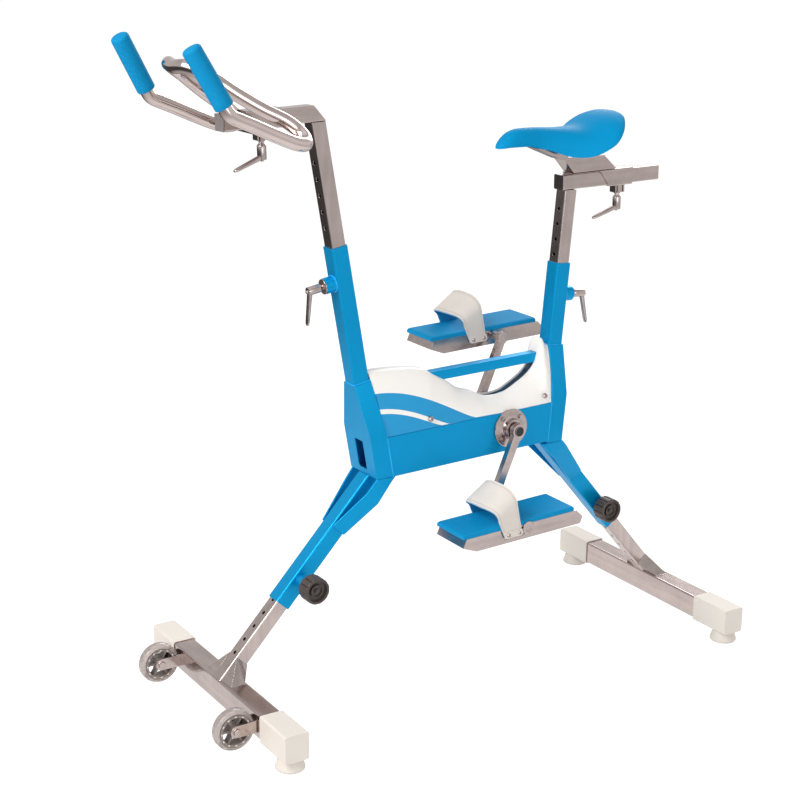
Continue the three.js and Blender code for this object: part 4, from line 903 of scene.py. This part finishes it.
class AQUABIKE_OT_caps(bpy.types.Operator):
    """Dresses the end caps and turns the feet under them"""
    bl_idname = "aquabike.caps"
    bl_label = "Caps and feet"

    def execute(self, context):
        neck, pin, pin_height = 0.021, 0.005, 0.0123
        for end in ENDS:
            for side, _ in SIDES:
                refined(f"{end}_{side}_cap", "cap", 0.003)
                node = f"{end}_{side}_foot"
                low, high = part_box(node)
                base, top = (high[0] - low[0]) / 2, high[2]
                seat = top - pin_height
                profile = [
                    (0, 0.0012), (base - 0.006, 0.0012), (base - 0.005, 0), (base - 0.0015, 0),
                    (base, 0.0015), (base, 0.0055), (base - 0.001, 0.0072), (neck + 0.001, seat - 0.0015),
                    (neck - 0.0005, seat), (pin, seat), (pin, top), (0, top)]
                centre = ((low[0] + high[0]) / 2, (low[1] + high[1]) / 2, 0)
                foot = revolved(node + "_body", profile, Matrix.Translation(centre), 64, 45)
                dress(foot, "foot", node)
        return {'FINISHED'}


# Transport wheels

class AQUABIKE_OT_wheels(bpy.types.Operator):
    """Makes the transport wheels: clear tyre, spoked core, hub and pale window bars of painted light"""
    bl_idname = "aquabike.wheels"
    bl_label = "Transport wheels"

    def execute(self, context):
        half, outer, rim, hub, bore = 0.012, 0.040, 0.0315, 0.011, 0.0046
        recessed, proud = half - 0.0002, half + 0.0001
        tread = [(rim, 0.002 - half), (rim + 0.002, -half), (outer - 0.005, -half),
                 (outer - 0.002, 0.002 - half), (outer, 0.006 - half)]
        tread += [(radius, -height) for radius, height in reversed(tread)]
        spoke_sections = [(hub - 0.001, 0.0028, 0.007), (0.019, 0.0016, 0.007), (rim - 0.004, 0.0028, 0.007)]
        window_sections = [(rim - 0.0038, 0.002, proud), (rim - 0.0014, 0.002, proud)]
        for side, _ in SIDES:
            node = side + "_wheel"
            joint = JOINTS[side + "_wheel_roll"]
            spin = axis_matrix(joint["pos_m"], joint["axis"])
            dress(revolved(node + "_tyre", tread + tread[:1], spin, 72, 40), "tyre", node)
            ring = revolved("core_ring", sleeve(rim - 0.0048, rim - 0.0002, -recessed, recessed))
            middle = revolved("core_hub", sleeve(bore, hub, -half, half), segments=48)
            spoke = bar_along_x("spoke_source", spoke_sections)
            spokes = scattered("core_spokes", spoke, around(sizes().wheel_spokes), "core")
            core = merged(node + "_core", [ring, middle, spokes], 40)
            # The windows are solid pale bars that stand for light seen in the wheel: painted light.
            window = bar_along_x("window_source", window_sections)
            windows = scattered(node + "_windows", window, around(2 * sizes().wheel_spokes), "cap")
            for piece, finish in ((core, "core"), (windows, "cap")):
                piece.data.transform(spin)
                dress(piece, finish, body=BODY_OF[node], slot="clear_wheel")
        return {'FINISHED'}


# Knobs and levers

def fluted_ring(matrix, radius, level, depth=0.0):
    """A ring about a matrix's Z axis with narrow grooves, whose depth is a share of the radius."""
    flutes = sizes().knob_flutes
    points = []
    for turn in turns(flutes * 12):
        reach = radius * (1 - depth * max(0.0, math.cos(flutes * turn)) ** 7)
        points.append(matrix @ polar(reach, turn, level))
    return points


class AQUABIKE_OT_knobs(bpy.types.Operator):
    """Makes the fluted leg knobs with their sunk faces, and the collars that they stand on"""
    bl_idname = "aquabike.knobs"
    bl_label = "Leg knobs"

    def execute(self, context):
        head_depth, stud, bore, collar, collar_foot = 0.031, 0.005, 0.006, 0.0128, 0.0233
        for end in ENDS:
            node = end + "_leg_knob"
            low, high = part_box(node)
            radius = (high[0] - low[0]) / 2 + 0.002
            top, bottom, inner = -low[1], -low[1] - head_depth, -high[1]
            matrix = axis_matrix(((low[0] + high[0]) / 2, 0, (low[2] + high[2]) / 2), (0, -1, 0))
            # Rings of radius, level and depth of the flutes: up the side, then over the sunk face.
            side = [
                (0.0125, bottom), (radius - 0.002, bottom, 0.08), (radius - 0.0004, bottom + 0.0014, 0.12),
                (radius, bottom + 0.004, 0.12), (radius, top - 0.0035, 0.12),
                (radius - 0.0003, top - 0.0014, 0.05), (radius - 0.0014, top - 0.0003),
                (radius - 0.0024, top)]
            face = [(radius * share, top - drop) for share, drop in (
                (0.80, 0), (0.785, 0.0008), (0.77, 0.0075), (0.50, 0.008), (0.48, 0.0032), (0.42, 0.003),
                (0.40, 0.0066), (0.16, 0.0068), (0.14, 0.003), (0.05, 0.0028))]
            head = lofted(node + "_head", [fluted_ring(matrix, *row) for row in side + face])
            under = bottom + 0.0005
            rod = [(0, inner), (stud, inner), (stud, under), (0, under)]
            shank = revolved(node + "_shank", rod, matrix, 48)
            dress(merged(node + "_body", [head, shank], 50), "knob", node)
            seat = revolved(node + "_collar", sleeve(bore, collar, collar_foot, bottom - 0.0003), matrix, 48)
            dress(seat, "paint", body="frame", slot="frame_blue")
        return {'FINISHED'}


# Each lever and its joint.
LEVERS = {"handlebar_lever": "handlebar_clamp_turn", "mast_lever": "mast_clamp_turn",
          "rail_lever": "rail_clamp_turn", "seat_lever": "seat_clamp_turn"}

# A lever's arm in mm: its sections as share of the length, width and depth, its length and its lean.
ARM_SECTIONS = [(0.0, 11.5, 10), (0.14, 11.5, 10), (0.3, 10.8, 9.2), (0.5, 11.0, 8.4), (0.7, 11.5, 7.6),
                (0.86, 11.5, 7.0), (0.94, 10.4, 6.2), (0.985, 7.5, 4.6), (1.0, 3.5, 2.2)]
ARM_LENGTH, ARM_LEAN = 66, math.radians(16)


def lever_arm(matrix, level):
    """The arm of a lever along a matrix's X axis, leaning away from the clamp."""
    along = Vector((math.cos(ARM_LEAN), 0, -math.sin(ARM_LEAN)))
    out = Vector((math.sin(ARM_LEAN), 0, math.cos(ARM_LEAN)))
    rings = []
    for share, width, deep in ARM_SECTIONS:
        centre = along * ARM_LENGTH * MM * share + Vector((0, 0, level))
        rings.append([matrix @ (centre + out * (deep / 2 * MM * math.sin(turn))
                                + Vector((0, width / 2 * MM * math.cos(turn), 0))) for turn in turns(28)])
    return lofted("lever_arm", rings, 60)


class AQUABIKE_OT_levers(bpy.types.Operator):
    """Makes the four clamp levers"""
    bl_idname = "aquabike.levers"
    bl_label = "Clamp levers"

    def execute(self, context):
        neck, hub, stem, longer = 0.0045, 0.0085, 0.004, 0.005
        for node, name in LEVERS.items():
            origin, axis = Vector(JOINTS[name]["pos_m"]), Vector(JOINTS[name]["axis"])
            offsets = [vertex.co - origin for vertex in NODES[node].data.vertices]
            reach = [offset.dot(axis) for offset in offsets]
            # Z points from the hub into the clamp, whichever way the joint's axis points.
            if -min(reach) < max(reach) and max(reach) > 0.03:
                axis, reach = -axis, [-r for r in reach]
            sideways = [offset - axis * r for offset, r in zip(offsets, reach)]
            matrix = axis_matrix(origin, axis, max(sideways, key=lambda v: v.length))
            stud, end = max(reach), min(reach) - longer
            collar = max(v.length for v, r in zip(sideways, reach) if -0.003 < r < 0.0001)
            body = revolved("lever_hub", [
                (0, end), (0.0026, end), (0.003, end + 0.0004), (0.003, end + 0.003), (0.0068, end + 0.003),
                (0.0082, end + 0.0036), (hub, end + 0.0046), (hub, -0.0105), (0.0080, -0.0090),
                (neck + 0.0001, -0.0052), (neck, -0.0025), (collar - 0.0004, -0.0025), (collar, -0.0020),
                (collar, -0.0004), (collar - 0.0004, 0), (stem, 0), (stem, stud), (0, stud)], matrix, 48, 40)
            dress(merged(node + "_body", [body, lever_arm(matrix, end + hub)], 45), "steel", node)
        return {'FINISHED'}


# Crank drive

class AQUABIKE_OT_drive(bpy.types.Operator):
    """Makes the bearing covers with their bolts, the cranks, spindle, dust caps and pedal axles"""
    bl_idname = "aquabike.drive"
    bl_label = "Crank drive"

    def execute(self, context):
        refined("spindle", "steel", 0.0004)
        for side, way in SIDES:
            refined(side + "_bearing", "steel", 0.0005)
            self.cover(side, way)
            refined(side + "_crank", "steel", 0.0016, 40)
            self.crank_end(side, way)
            self.axle(side, way)
        return {'FINISHED'}

    def across(self, joint, way):
        """A matrix in the middle plane whose Z points out to one side, at a joint."""
        x, _, z = JOINTS[joint]["pos_m"]
        return axis_matrix((x, 0, z), (0, way, 0))

    def cover(self, side, way):
        """A flanged bearing cover with four bolts."""
        near, face, end = 0.0498, 0.0538, 0.066
        bore, boss, rim, bolt_circle = 0.0105, 0.0210, 0.0400, 0.031
        cover = revolved(side + "_cover", [
            (bore, near), (rim, near), (rim, face - 0.0012), (rim - 0.0012, face), (boss + 0.0025, face),
            (boss + 0.0008, face + 0.0008), (boss, face + 0.0024), (boss, end - 0.0015),
            (boss - 0.0015, end), (0.0165, end), (0.0160, end - 0.0012), (bore, end - 0.0012), (bore, near)],
            self.across("crank_spin", way), 72)
        dress(cover, "steel", side + "_flange")
        centre = Vector(JOINTS["crank_spin"]["pos_m"]) + Vector((0, way * face, 0))
        spots = []
        for turn in turns(4):
            out = Vector((math.cos(turn + math.pi / 4), 0, math.sin(turn + math.pi / 4)))
            spots.append((centre + bolt_circle * out, (0, way, 0), out))
        head = hex_head("cover_bolt_source", 0.0085, 0.0035)
        dress(scattered(side + "_cover_bolts", head, spots, "steel"), "steel", body="frame", slot="steel")

    def crank_end(self, side, way):
        """A domed dust cap in the eye of a crank."""
        seat, radius = 0.0809, 0.0108
        cap = revolved(side + "_dust_cap", [
            (0, seat + 0.0018), (0.0075, seat + 0.002), (radius - 0.0012, seat + 0.0017),
            (radius - 0.0002, seat + 0.0007), (radius, seat + 0.0002), (radius, seat), (0, seat)],
            self.across("crank_spin", way), 48)
        dress(cap, "dust_cap", body="crank", slot="black_plastic")

    def axle(self, side, way):
        """A pedal axle with a collar beside the crank and a washer outside the tray."""
        start, crank_face, tray_face, washer_face, tip = 0.0685, 0.0813, 0.1097, 0.2023, 0.2048
        pin, collar, washer = 0.005, 0.0085, 0.0130
        axle = revolved(side + "_axle", [
            (0, start), (pin, start), (pin, crank_face), (collar, crank_face), (collar, tray_face),
            (pin, tray_face), (pin, washer_face), (washer - 0.0008, washer_face),
            (washer, washer_face + 0.0006), (washer, tip - 0.0007), (washer - 0.0008, tip), (0.0070, tip),
            (0.0060, tip - 0.0006), (0.0035, tip - 0.0006), (0.0030, tip), (0, tip)],
            self.across(side + "_pedal_spin", way), 48)
        dress(axle, "steel", side + "_pedal_axle")


# Pedals

# Tilt of the trays in degrees, and how far the middle of a tray is from the middle plane in mm.
PEDAL_TILT, PEDAL_MIDDLE = -2, 156


def pedal_matrix(side):
    """From millimetres about a pedal's axle, level with its tray, to the shared frame."""
    x, _, z = JOINTS[side + "_pedal_spin"]["pos_m"]
    tilt = Matrix.Rotation(math.radians(PEDAL_TILT), 4, 'Y')
    return Matrix.Translation((x, 0, z)) @ tilt @ Matrix.Scale(MM, 4)


def pad_mesh(name, matrix, way):
    """A foam pad with a slightly crowned top, rounded edges and straight sides."""
    x0, x1, y0, y1, bottom, top = -152, 114, 110, 202, 8.3, 18
    columns, rows = 56, 20
    round_depth, round_reach, crown_rise = 2.2, 1.6, 0.25

    def spread(t):
        """Draws the steps together towards both edges."""
        return t - 0.075 * math.sin(2 * math.pi * t)

    def point(i, j, low=False):
        u, v = spread(i / columns), spread(j / rows)
        edges = min(u, 1 - u) * (x1 - x0), min(v, 1 - v) * (y1 - y0)
        fall = sum(round_depth * math.exp(-edge / round_reach) for edge in edges)
        crown = crown_rise * math.sin(math.pi * u) * math.sin(math.pi * v)
        z = bottom if low else top - fall + crown
        return matrix @ Vector((x0 + u * (x1 - x0), way * (y0 + v * (y1 - y0)), z))
    grid = [(i, j) for i in range(columns + 1) for j in range(rows + 1)]
    border = ([(i, 0) for i in range(columns)] + [(columns, j) for j in range(rows)]
              + [(i, rows) for i in range(columns, 0, -1)] + [(0, j) for j in range(rows, 0, -1)])
    points = [point(i, j) for i, j in grid] + [point(i, j, True) for i, j in border]
    upper = {spot: index for index, spot in enumerate(grid)}
    lower = {spot: index + len(grid) for index, spot in enumerate(border)}
    faces = [(upper[i, j], upper[i + 1, j], upper[i + 1, j + 1], upper[i, j + 1])
             for i in range(columns) for j in range(rows)]
    faces += [(lower[a], lower[b], upper[b], upper[a]) for a, b in zip(border, border[1:] + border[:1])]
    return mesh_from(name, points, faces + [tuple(lower.values())])


class AQUABIKE_OT_pedals(bpy.types.Operator):
    """Dresses the folded pedal trays and makes the foam pads"""
    bl_idname = "aquabike.pedals"
    bl_label = "Pedals and pads"

    def execute(self, context):
        for side, way in SIDES:
            refined(side + "_pedal_tray", "tray", 0.0009)
            name = side + "_pad"
            pad = new_object(name, sealed(pad_mesh(name, pedal_matrix(side), way), 50))
            dress(pad, "pad", side + "_pedal_pad")
        return {'FINISHED'}


# Foot straps

# In mm: half the width inside a strap, the level of its foot, the skew of its arch, and how far outside
# the strap its foot tabs start and end.
TRAY_HALF, STRAP_FOOT, STRAP_SKEW = 46.3, -10, 8
TAB_START, TAB_END = 0.2, 1.8

# The two edges of a strap in mm: places of its foot, shoulder and crest along the tray, heights of its
# shoulder and crest, and the power that rounds its arch.
STRAP_EDGES = [(-57, -72, -90, 28, 53, 0.6), (-16, -27, -42, 53, 90, 0.8)]


def leg_point(edge, t, side, half, thickness):
    """Place along the tray and (across, up) outside and inside, a share up one leg of a strap."""
    foot, shoulder, _, height, _, _ = edge
    z = STRAP_FOOT + (height - STRAP_FOOT) * t
    return foot + (shoulder - foot) * t, (side * half, z), (side * (half - thickness), z)


def arch_point(edge, angle, half, thickness):
    """Place along the tray and (across, up) outside and inside, at an angle over the arch of a strap."""
    _, shoulder, crest, low, high, power = edge
    cosine, sine = math.cos(angle), math.sin(angle)

    def layer(inset):
        rise = (high - inset - low) * max(0.0, sine) ** power
        return (half - inset) * math.copysign(abs(cosine) ** power, cosine), low + rise
    place = shoulder + (crest - shoulder) * sine - STRAP_SKEW * sine * cosine
    return place, layer(0), layer(thickness)


def strap_rings(matrix, middle, half, thickness, across):
    """Closed rings over the foot, from one foot tab to the other, each with an outer and an inner layer."""
    legs, steps = (0, 0.35, 0.7), 72
    spans = [[leg_point(edge, t, 1, half, thickness) for edge in STRAP_EDGES] for t in legs]
    spans += [[arch_point(edge, math.pi * i / steps, half, thickness) for edge in STRAP_EDGES]
              for i in range(steps + 1)]
    spans += [[leg_point(edge, t, -1, half, thickness) for edge in STRAP_EDGES] for t in legs[::-1]]
    shares = [j / across for j in range(across + 1)]
    rings = []
    for (x0, *front), (x1, *rear) in spans:
        ring = []
        for (y0, z0), (y1, z1), order in zip(front, rear, (shares, shares[::-1])):
            ring += [matrix @ Vector((x0 + (x1 - x0) * t, y0 + (y1 - y0) * t + middle, z0 + (z1 - z0) * t))
                     for t in order]
        rings.append(ring)
    return rings


def foot_tab(matrix, y0, y1):
    """A flat tab over a strap's foot, with rounded lower corners."""
    x0, x1, z0, z1, radius = -58, -15, -11, 3, 6
    corners = [(x1 - 2, z1), (x0 - 2, z1)]
    for x, start in ((x0 + radius, math.pi), (x1 - radius, 1.5 * math.pi)):
        corners += [(x + radius * math.cos(start + math.pi / 12 * i),
                     z0 + radius + radius * math.sin(start + math.pi / 12 * i)) for i in range(7)]
    return lofted("foot_tab", [[matrix @ Vector((x, y, z)) for x, z in corners] for y in (y0, y1)], 30)


def point_values(mesh, name, values):
    """Keeps a number for each point of a mesh under a name."""
    layer = mesh.attributes.new(name, 'FLOAT', 'POINT')
    for item, value in zip(layer.data, values):
        item.value = value


class AQUABIKE_OT_straps(bpy.types.Operator):
    """Makes the foot straps with their lining, foot tabs and screws"""
    bl_idname = "aquabike.straps"
    bl_label = "Foot straps"

    def execute(self, context):
        thickness, across = sizes().strap / MM, 14
        half = TRAY_HALF + thickness
        width = 2 * (across + 1)
        for side, way in SIDES:
            matrix, middle = pedal_matrix(side), way * PEDAL_MIDDLE
            strap = lofted(side + "_strap", strap_rings(matrix, middle, half, thickness, across), 40)
            steps = [index % width for index in range(len(strap.data.vertices))]
            point_values(strap.data, "lining", [float(step > across) for step in steps])
            point_values(strap.data, "across", [min(step, width - 1 - step) / across for step in steps])
            dress(strap, "strap", side + "_pedal_strap")
            tabs = merged(side + "_strap_plates", [
                foot_tab(matrix, middle + leg * (half + TAB_START), middle + leg * (half + TAB_END))
                for leg in (-1, 1)])
            add_bevel(tabs, 0.0005)
            dress(tabs, "strap", body=side + "_pedal", slot=SLOT_OF[side + "_pedal_strap"])
            head = screw_head("strap_screw_source", 0.0042, 0.0022)
            spots = [(matrix @ Vector((x, middle + leg * (half + TAB_END), -4)), (0, leg, 0), (1, 0, 0))
                     for leg in (-1, 1) for x in (-50, -24)]
            screws = scattered(side + "_strap_screws", head, spots, "steel")
            dress(screws, "steel", body=side + "_pedal", slot="steel")
        return {'FINISHED'}


# Handlebar

# Half of the bend, from its nose to where the grip starts, as shares of its length, half width and height.
BAR_PATH = [
    (0, 0, 0.985), (0.037, 0.236, 1), (0.158, 0.38, 0.908), (0.268, 0.452, 0.815), (0.405, 0.51, 0.677),
    (0.66, 0.628, 0.446), (0.884, 0.708, 0.277), (0.979, 0.774, 0.154), (1, 0.866, 0.06),
    (0.953, 0.964, 0.015), (0.863, 1, 0.03), (0.753, 1.01, 0.085), (0.579, 1.02, 0.187), (0.397, 1.03, 0.3),
    (0.253, 1.04, 0.385), (0.179, 1.045, 0.43), (0.126, 1.047, 0.485)]
GRIP_END = (-0.178, 0.974, 1.25)

# The bend in mm: its front, length, half width, lowest level and rise.
BAR_FRONT, BAR_LENGTH, BAR_HALF, BAR_LEVEL, BAR_RISE = -598, 182, 150, 1104, 130


def handlebar_points():
    """Points along the whole tube, from the left grip's end to the right one's."""
    side = [at(BAR_FRONT + x * BAR_LENGTH, y * BAR_HALF, BAR_LEVEL + z * BAR_RISE)
            for x, y, z in BAR_PATH + [GRIP_END]]
    foot, tip = side[-2:]
    side = side[:-1] + [foot.lerp(tip, i / 3) for i in (1, 2, 3)]
    return [Vector((p.x, -p.y, p.z)) for p in side[1:]][::-1] + side


def grip_profile():
    """A grip's bore, ring edge, side and rounded end, about its outer end."""
    radius, inner = sizes().grip / 2, sizes().bar_tube / 2 + 0.0003
    start, end, corner, step = -0.102, 0.01, 0.0065, 0.012
    profile = [(inner, start + step), (inner, start), (radius - 0.0025, start),
               (radius - 0.0006, start + 0.0008), (radius, start + 0.0025)]
    profile += [(radius, start + step * i) for i in range(1, 9)]
    for i in range(9):
        turn = math.pi / 2 * i / 8
        profile.append((radius - corner + corner * math.cos(turn), end - corner + corner * math.sin(turn)))
    return profile + [(0, end)]


class AQUABIKE_OT_handlebar(bpy.types.Operator):
    """Sweeps the bent handlebar tube and makes the grips"""
    bl_idname = "aquabike.handlebar"
    bl_label = "Handlebar"

    def execute(self, context):
        points = handlebar_points()
        tube = swept_tube("handlebar_bend", centripetal(points, 7), sizes().bar_tube / 2, "mirror", 56)
        dress(tube, "mirror", "handlebar_tube")
        for side, end, before in (("left", points[0], points[1]), ("right", points[-1], points[-2])):
            matrix = axis_matrix(end, end - before)
            dress(revolved(side + "_grip_body", grip_profile(), matrix, 56, 50), "grip", side + "_grip")
        return {'FINISHED'}


# Saddle

# The saddle in mm: its front, length and half width, and the level, crown and skirt behind its heights.
SADDLE_FRONT, SADDLE_LENGTH, SADDLE_HALF = 82, 287, 92
SADDLE_LEVEL, SADDLE_CROWN, SADDLE_SKIRT = 1044, 39, 16

# Along the saddle as a share of its length: shares of its half width, crown height and edge height.
SADDLE_WIDTHS = [
    (0, 0.03), (0.0115, 0.1), (0.038, 0.165), (0.096, 0.215), (0.192, 0.245), (0.287, 0.27), (0.38, 0.34),
    (0.439, 0.41), (0.498, 0.5), (0.578, 0.65), (0.659, 0.82), (0.739, 0.95), (0.801, 1), (0.861, 0.93),
    (0.909, 0.79), (0.951, 0.6), (0.979, 0.37), (1, 0.12)]
SADDLE_TOPS = [
    (0, 0.12), (0.0115, 0.28), (0.038, 0.52), (0.096, 0.84), (0.15, 0.97), (0.192, 1), (0.287, 1),
    (0.38, 0.97), (0.502, 0.92), (0.627, 0.92), (0.69, 1.0), (0.76, 1.22), (0.829, 1.44), (0.899, 1.58),
    (0.951, 1.62), (1, 1.57)]
SADDLE_EDGES = [
    (0, 0.12), (0.096, 0.3), (0.192, 0.3), (0.24, 0.25), (0.307, -0.1), (0.404, -0.7), (0.47, -1.25),
    (0.519, -1.55), (0.589, -1.6), (0.662, -1.25), (0.735, -0.4), (0.812, 0.7), (0.861, 1.6), (0.92, 2.65),
    (0.951, 3.25), (0.979, 3.55), (1, 3.7)]


def saddle_ring(share, count=48):
    """A section of the saddle, flatter across at the nose and rounder at the back."""
    width = SADDLE_HALF * between(SADDLE_WIDTHS, share)
    top = SADDLE_LEVEL + SADDLE_CROWN * between(SADDLE_TOPS, share)
    edge = SADDLE_LEVEL + SADDLE_SKIRT * between(SADDLE_EDGES, share)
    under = max(SADDLE_LEVEL, edge) + 0.3
    back = min(1.0, max(0.0, (share - 0.5) / 0.25))
    side_power, crown_power, under_power = 0.8 + 0.2 * back, 0.75 + 0.35 * back, 0.4
    x = SADDLE_FRONT + SADDLE_LENGTH * share
    ring = []
    for turn in turns(count):
        c, s = math.cos(turn), math.sin(turn)
        y = width * math.copysign(abs(c) ** side_power, c)
        z = edge + ((top - edge) * s ** crown_power if s >= 0 else (under - edge) * abs(s) ** under_power)
        ring.append(at(x, y, z))
    return ring


class AQUABIKE_OT_saddle(bpy.types.Operator):
    """Makes the moulded saddle"""
    bl_idname = "aquabike.saddle"
    bl_label = "Saddle"

    def execute(self, context):
        steps = 72
        rings = [saddle_ring(0.5 - 0.5 * math.cos(math.pi * r / steps)) for r in range(steps + 1)]
        saddle = lofted("saddle_shell", rings, 60)
        smooth = saddle.modifiers.new("soften", 'SMOOTH')
        smooth.factor, smooth.iterations = 0.5, 6
        dress(saddle, "saddle", "saddle")
        return {'FINISHED'}


# Stage

# Each lamp: its place, size and power.
LAMPS = {
    "key_lamp": ((-2.6, -0.4, 2.6), (1.8, 1.8), 76),
    "fill_lamp": ((-0.6, -3.4, 1.4), (2.4, 1.6), 25),
    "rim_lamp": ((2.4, 1.8, 2.4), (1.6, 1.6), 44)}
LAMP_TARGET = Vector((0, 0, 0.6))
WHITE = (1, 1, 1, 1)

# The photograph's camera: place and sensor in mm, angles in degrees, focal length and frame in pixels.
CAMERA_PLACE = (-1795, -2601, 1492)
CAMERA_AZIMUTH, CAMERA_ELEVATION, CAMERA_ROLL = -32.536, 16.651, 0.525
FOCAL_PIXELS, FRAME_PIXELS, SENSOR = 1641.8, 800, 36


def pale_floor():
    """A floor that keeps shadows and shows pale to the camera, and to glossy rays near the bike."""
    reach, level = 30, -0.0005
    glow, shown, matt_white, brightest_mirror = 1.38, 0.62, 0.9, 0.72
    corners = [(x * reach, y * reach, level) for x, y in ((-1, -1), (1, -1), (1, 1), (-1, 1))]
    floor = new_object("floor", mesh_from("floor", corners, [(0, 1, 2, 3)]))
    finish = Finish("pale_floor")
    camera, glossy, through = finish.rays()
    x, y, _ = finish.places("Object")
    nearby = ((x * x + y * y) ** 0.5).below(1.6, 1.3) * 0.45
    facing = (x - y).above(0.0, 5.0) * 0.44
    mirrored = (glossy * (nearby + facing + 0.05)).at_most(brightest_mirror)
    pale = (camera.at_least(through) * shown).at_least(mirrored)
    white = finish.node("ShaderNodeEmission", sockets={"Color": WHITE, "Strength": glow})
    matt = finish.node("ShaderNodeBsdfDiffuse", sockets={"Color": matt_white - matt_white * glossy})
    finish.end(finish.node("ShaderNodeMixShader", sockets={0: pale, 1: matt, 2: white}))
    floor.data.materials.append(finish.material)


def pale_world():
    """Surroundings that are white to the camera and darker in the middle heights to glossy rays."""
    world = bpy.data.worlds.new("pale_studio")
    shader = Shader(world, "ShaderNodeOutputWorld")
    camera, glossy, through = shader.rays()
    x, y, up = shader.places("Generated")
    overhead = up.above(0.85, 0.2) * 0.7
    horizon = up.below(0.5, 0.25) * (0.14 + 0.42 * (x - y).above(0.0, 2.8))
    pale = camera.at_least(through).at_least(glossy * (0.06 + overhead + horizon))
    plain, bright = [shader.node("ShaderNodeBackground", sockets={"Color": WHITE, "Strength": strength})
                     for strength in (0.5, 1.0)]
    shader.end(shader.node("ShaderNodeMixShader", sockets={0: pale, 1: plain, 2: bright}))
    return world


def soft_light(name, place, size, power):
    light = bpy.data.lights.new(name, 'AREA')
    light.shape = 'RECTANGLE'
    light.size, light.size_y = size
    light.energy = power
    lamp = new_object(name, light)
    lamp.location = place
    lamp.rotation_mode = 'QUATERNION'
    lamp.rotation_quaternion = (LAMP_TARGET - Vector(place)).to_track_quat('-Z', 'Y')


def photo_camera():
    camera = bpy.data.cameras.new("photo_camera")
    camera.sensor_width = SENSOR
    camera.lens = FOCAL_PIXELS * SENSOR / FRAME_PIXELS
    camera.clip_start, camera.clip_end = 0.05, 100
    eye = new_object("photo_camera", camera)
    eye.location = at(*CAMERA_PLACE)
    azimuth, elevation, roll = map(math.radians, (CAMERA_AZIMUTH, CAMERA_ELEVATION, CAMERA_ROLL))
    forward = polar(math.cos(elevation), azimuth + math.pi / 2, -math.sin(elevation))
    level = forward.to_track_quat('-Z', 'Y')
    eye.rotation_mode = 'QUATERNION'
    eye.rotation_quaternion = level @ Matrix.Rotation(roll, 3, 'Z').to_quaternion()
    return eye


class AQUABIKE_OT_stage(bpy.types.Operator):
    """Sets up the floor, the pale surroundings, the lamps and the camera"""
    bl_idname = "aquabike.stage"
    bl_label = "Stage"

    def execute(self, context):
        context.scene.view_settings.view_transform = 'Standard'
        pale_floor()
        context.scene.world = pale_world()
        for name, lamp in LAMPS.items():
            soft_light(name, *lamp)
        context.scene.camera = photo_camera()
        return {'FINISHED'}


class AQUABIKE_PT_panel(bpy.types.Panel):
    """Shows the sizes and colours of the aqua bike and a button for each of its operators"""
    bl_idname = "AQUABIKE_PT_panel"
    bl_label = "Aqua Bike"
    bl_space_type = 'VIEW_3D'
    bl_region_type = 'UI'
    bl_category = "Aqua Bike"

    def draw(self, context):
        for group in (sizes(), colours()):
            for name in group.__annotations__:
                self.layout.prop(group, name)
        for operator in OPERATORS:
            self.layout.operator(operator.bl_idname)


OPERATORS = [
    AQUABIKE_OT_stage, AQUABIKE_OT_frame, AQUABIKE_OT_fairing, AQUABIKE_OT_steelwork, AQUABIKE_OT_caps,
    AQUABIKE_OT_wheels, AQUABIKE_OT_knobs, AQUABIKE_OT_levers, AQUABIKE_OT_drive, AQUABIKE_OT_pedals,
    AQUABIKE_OT_straps, AQUABIKE_OT_handlebar, AQUABIKE_OT_saddle]
CLASSES = [AquaBikeSizes, AquaBikeColours, *OPERATORS, AQUABIKE_PT_panel]


def register():
    for item in CLASSES:
        bpy.utils.register_class(item)
    bpy.types.Scene.aqua_bike_sizes = PointerProperty(type=AquaBikeSizes)
    bpy.types.Scene.aqua_bike_colours = PointerProperty(type=AquaBikeColours)


def unregister():
    del bpy.types.Scene.aqua_bike_colours
    del bpy.types.Scene.aqua_bike_sizes
    for item in reversed(CLASSES):
        bpy.utils.unregister_class(item)


def main():
    register()
    for operator in OPERATORS:
        group, name = operator.bl_idname.split(".")
        getattr(getattr(bpy.ops, group), name)()


if __name__ == "__main__":
    main()
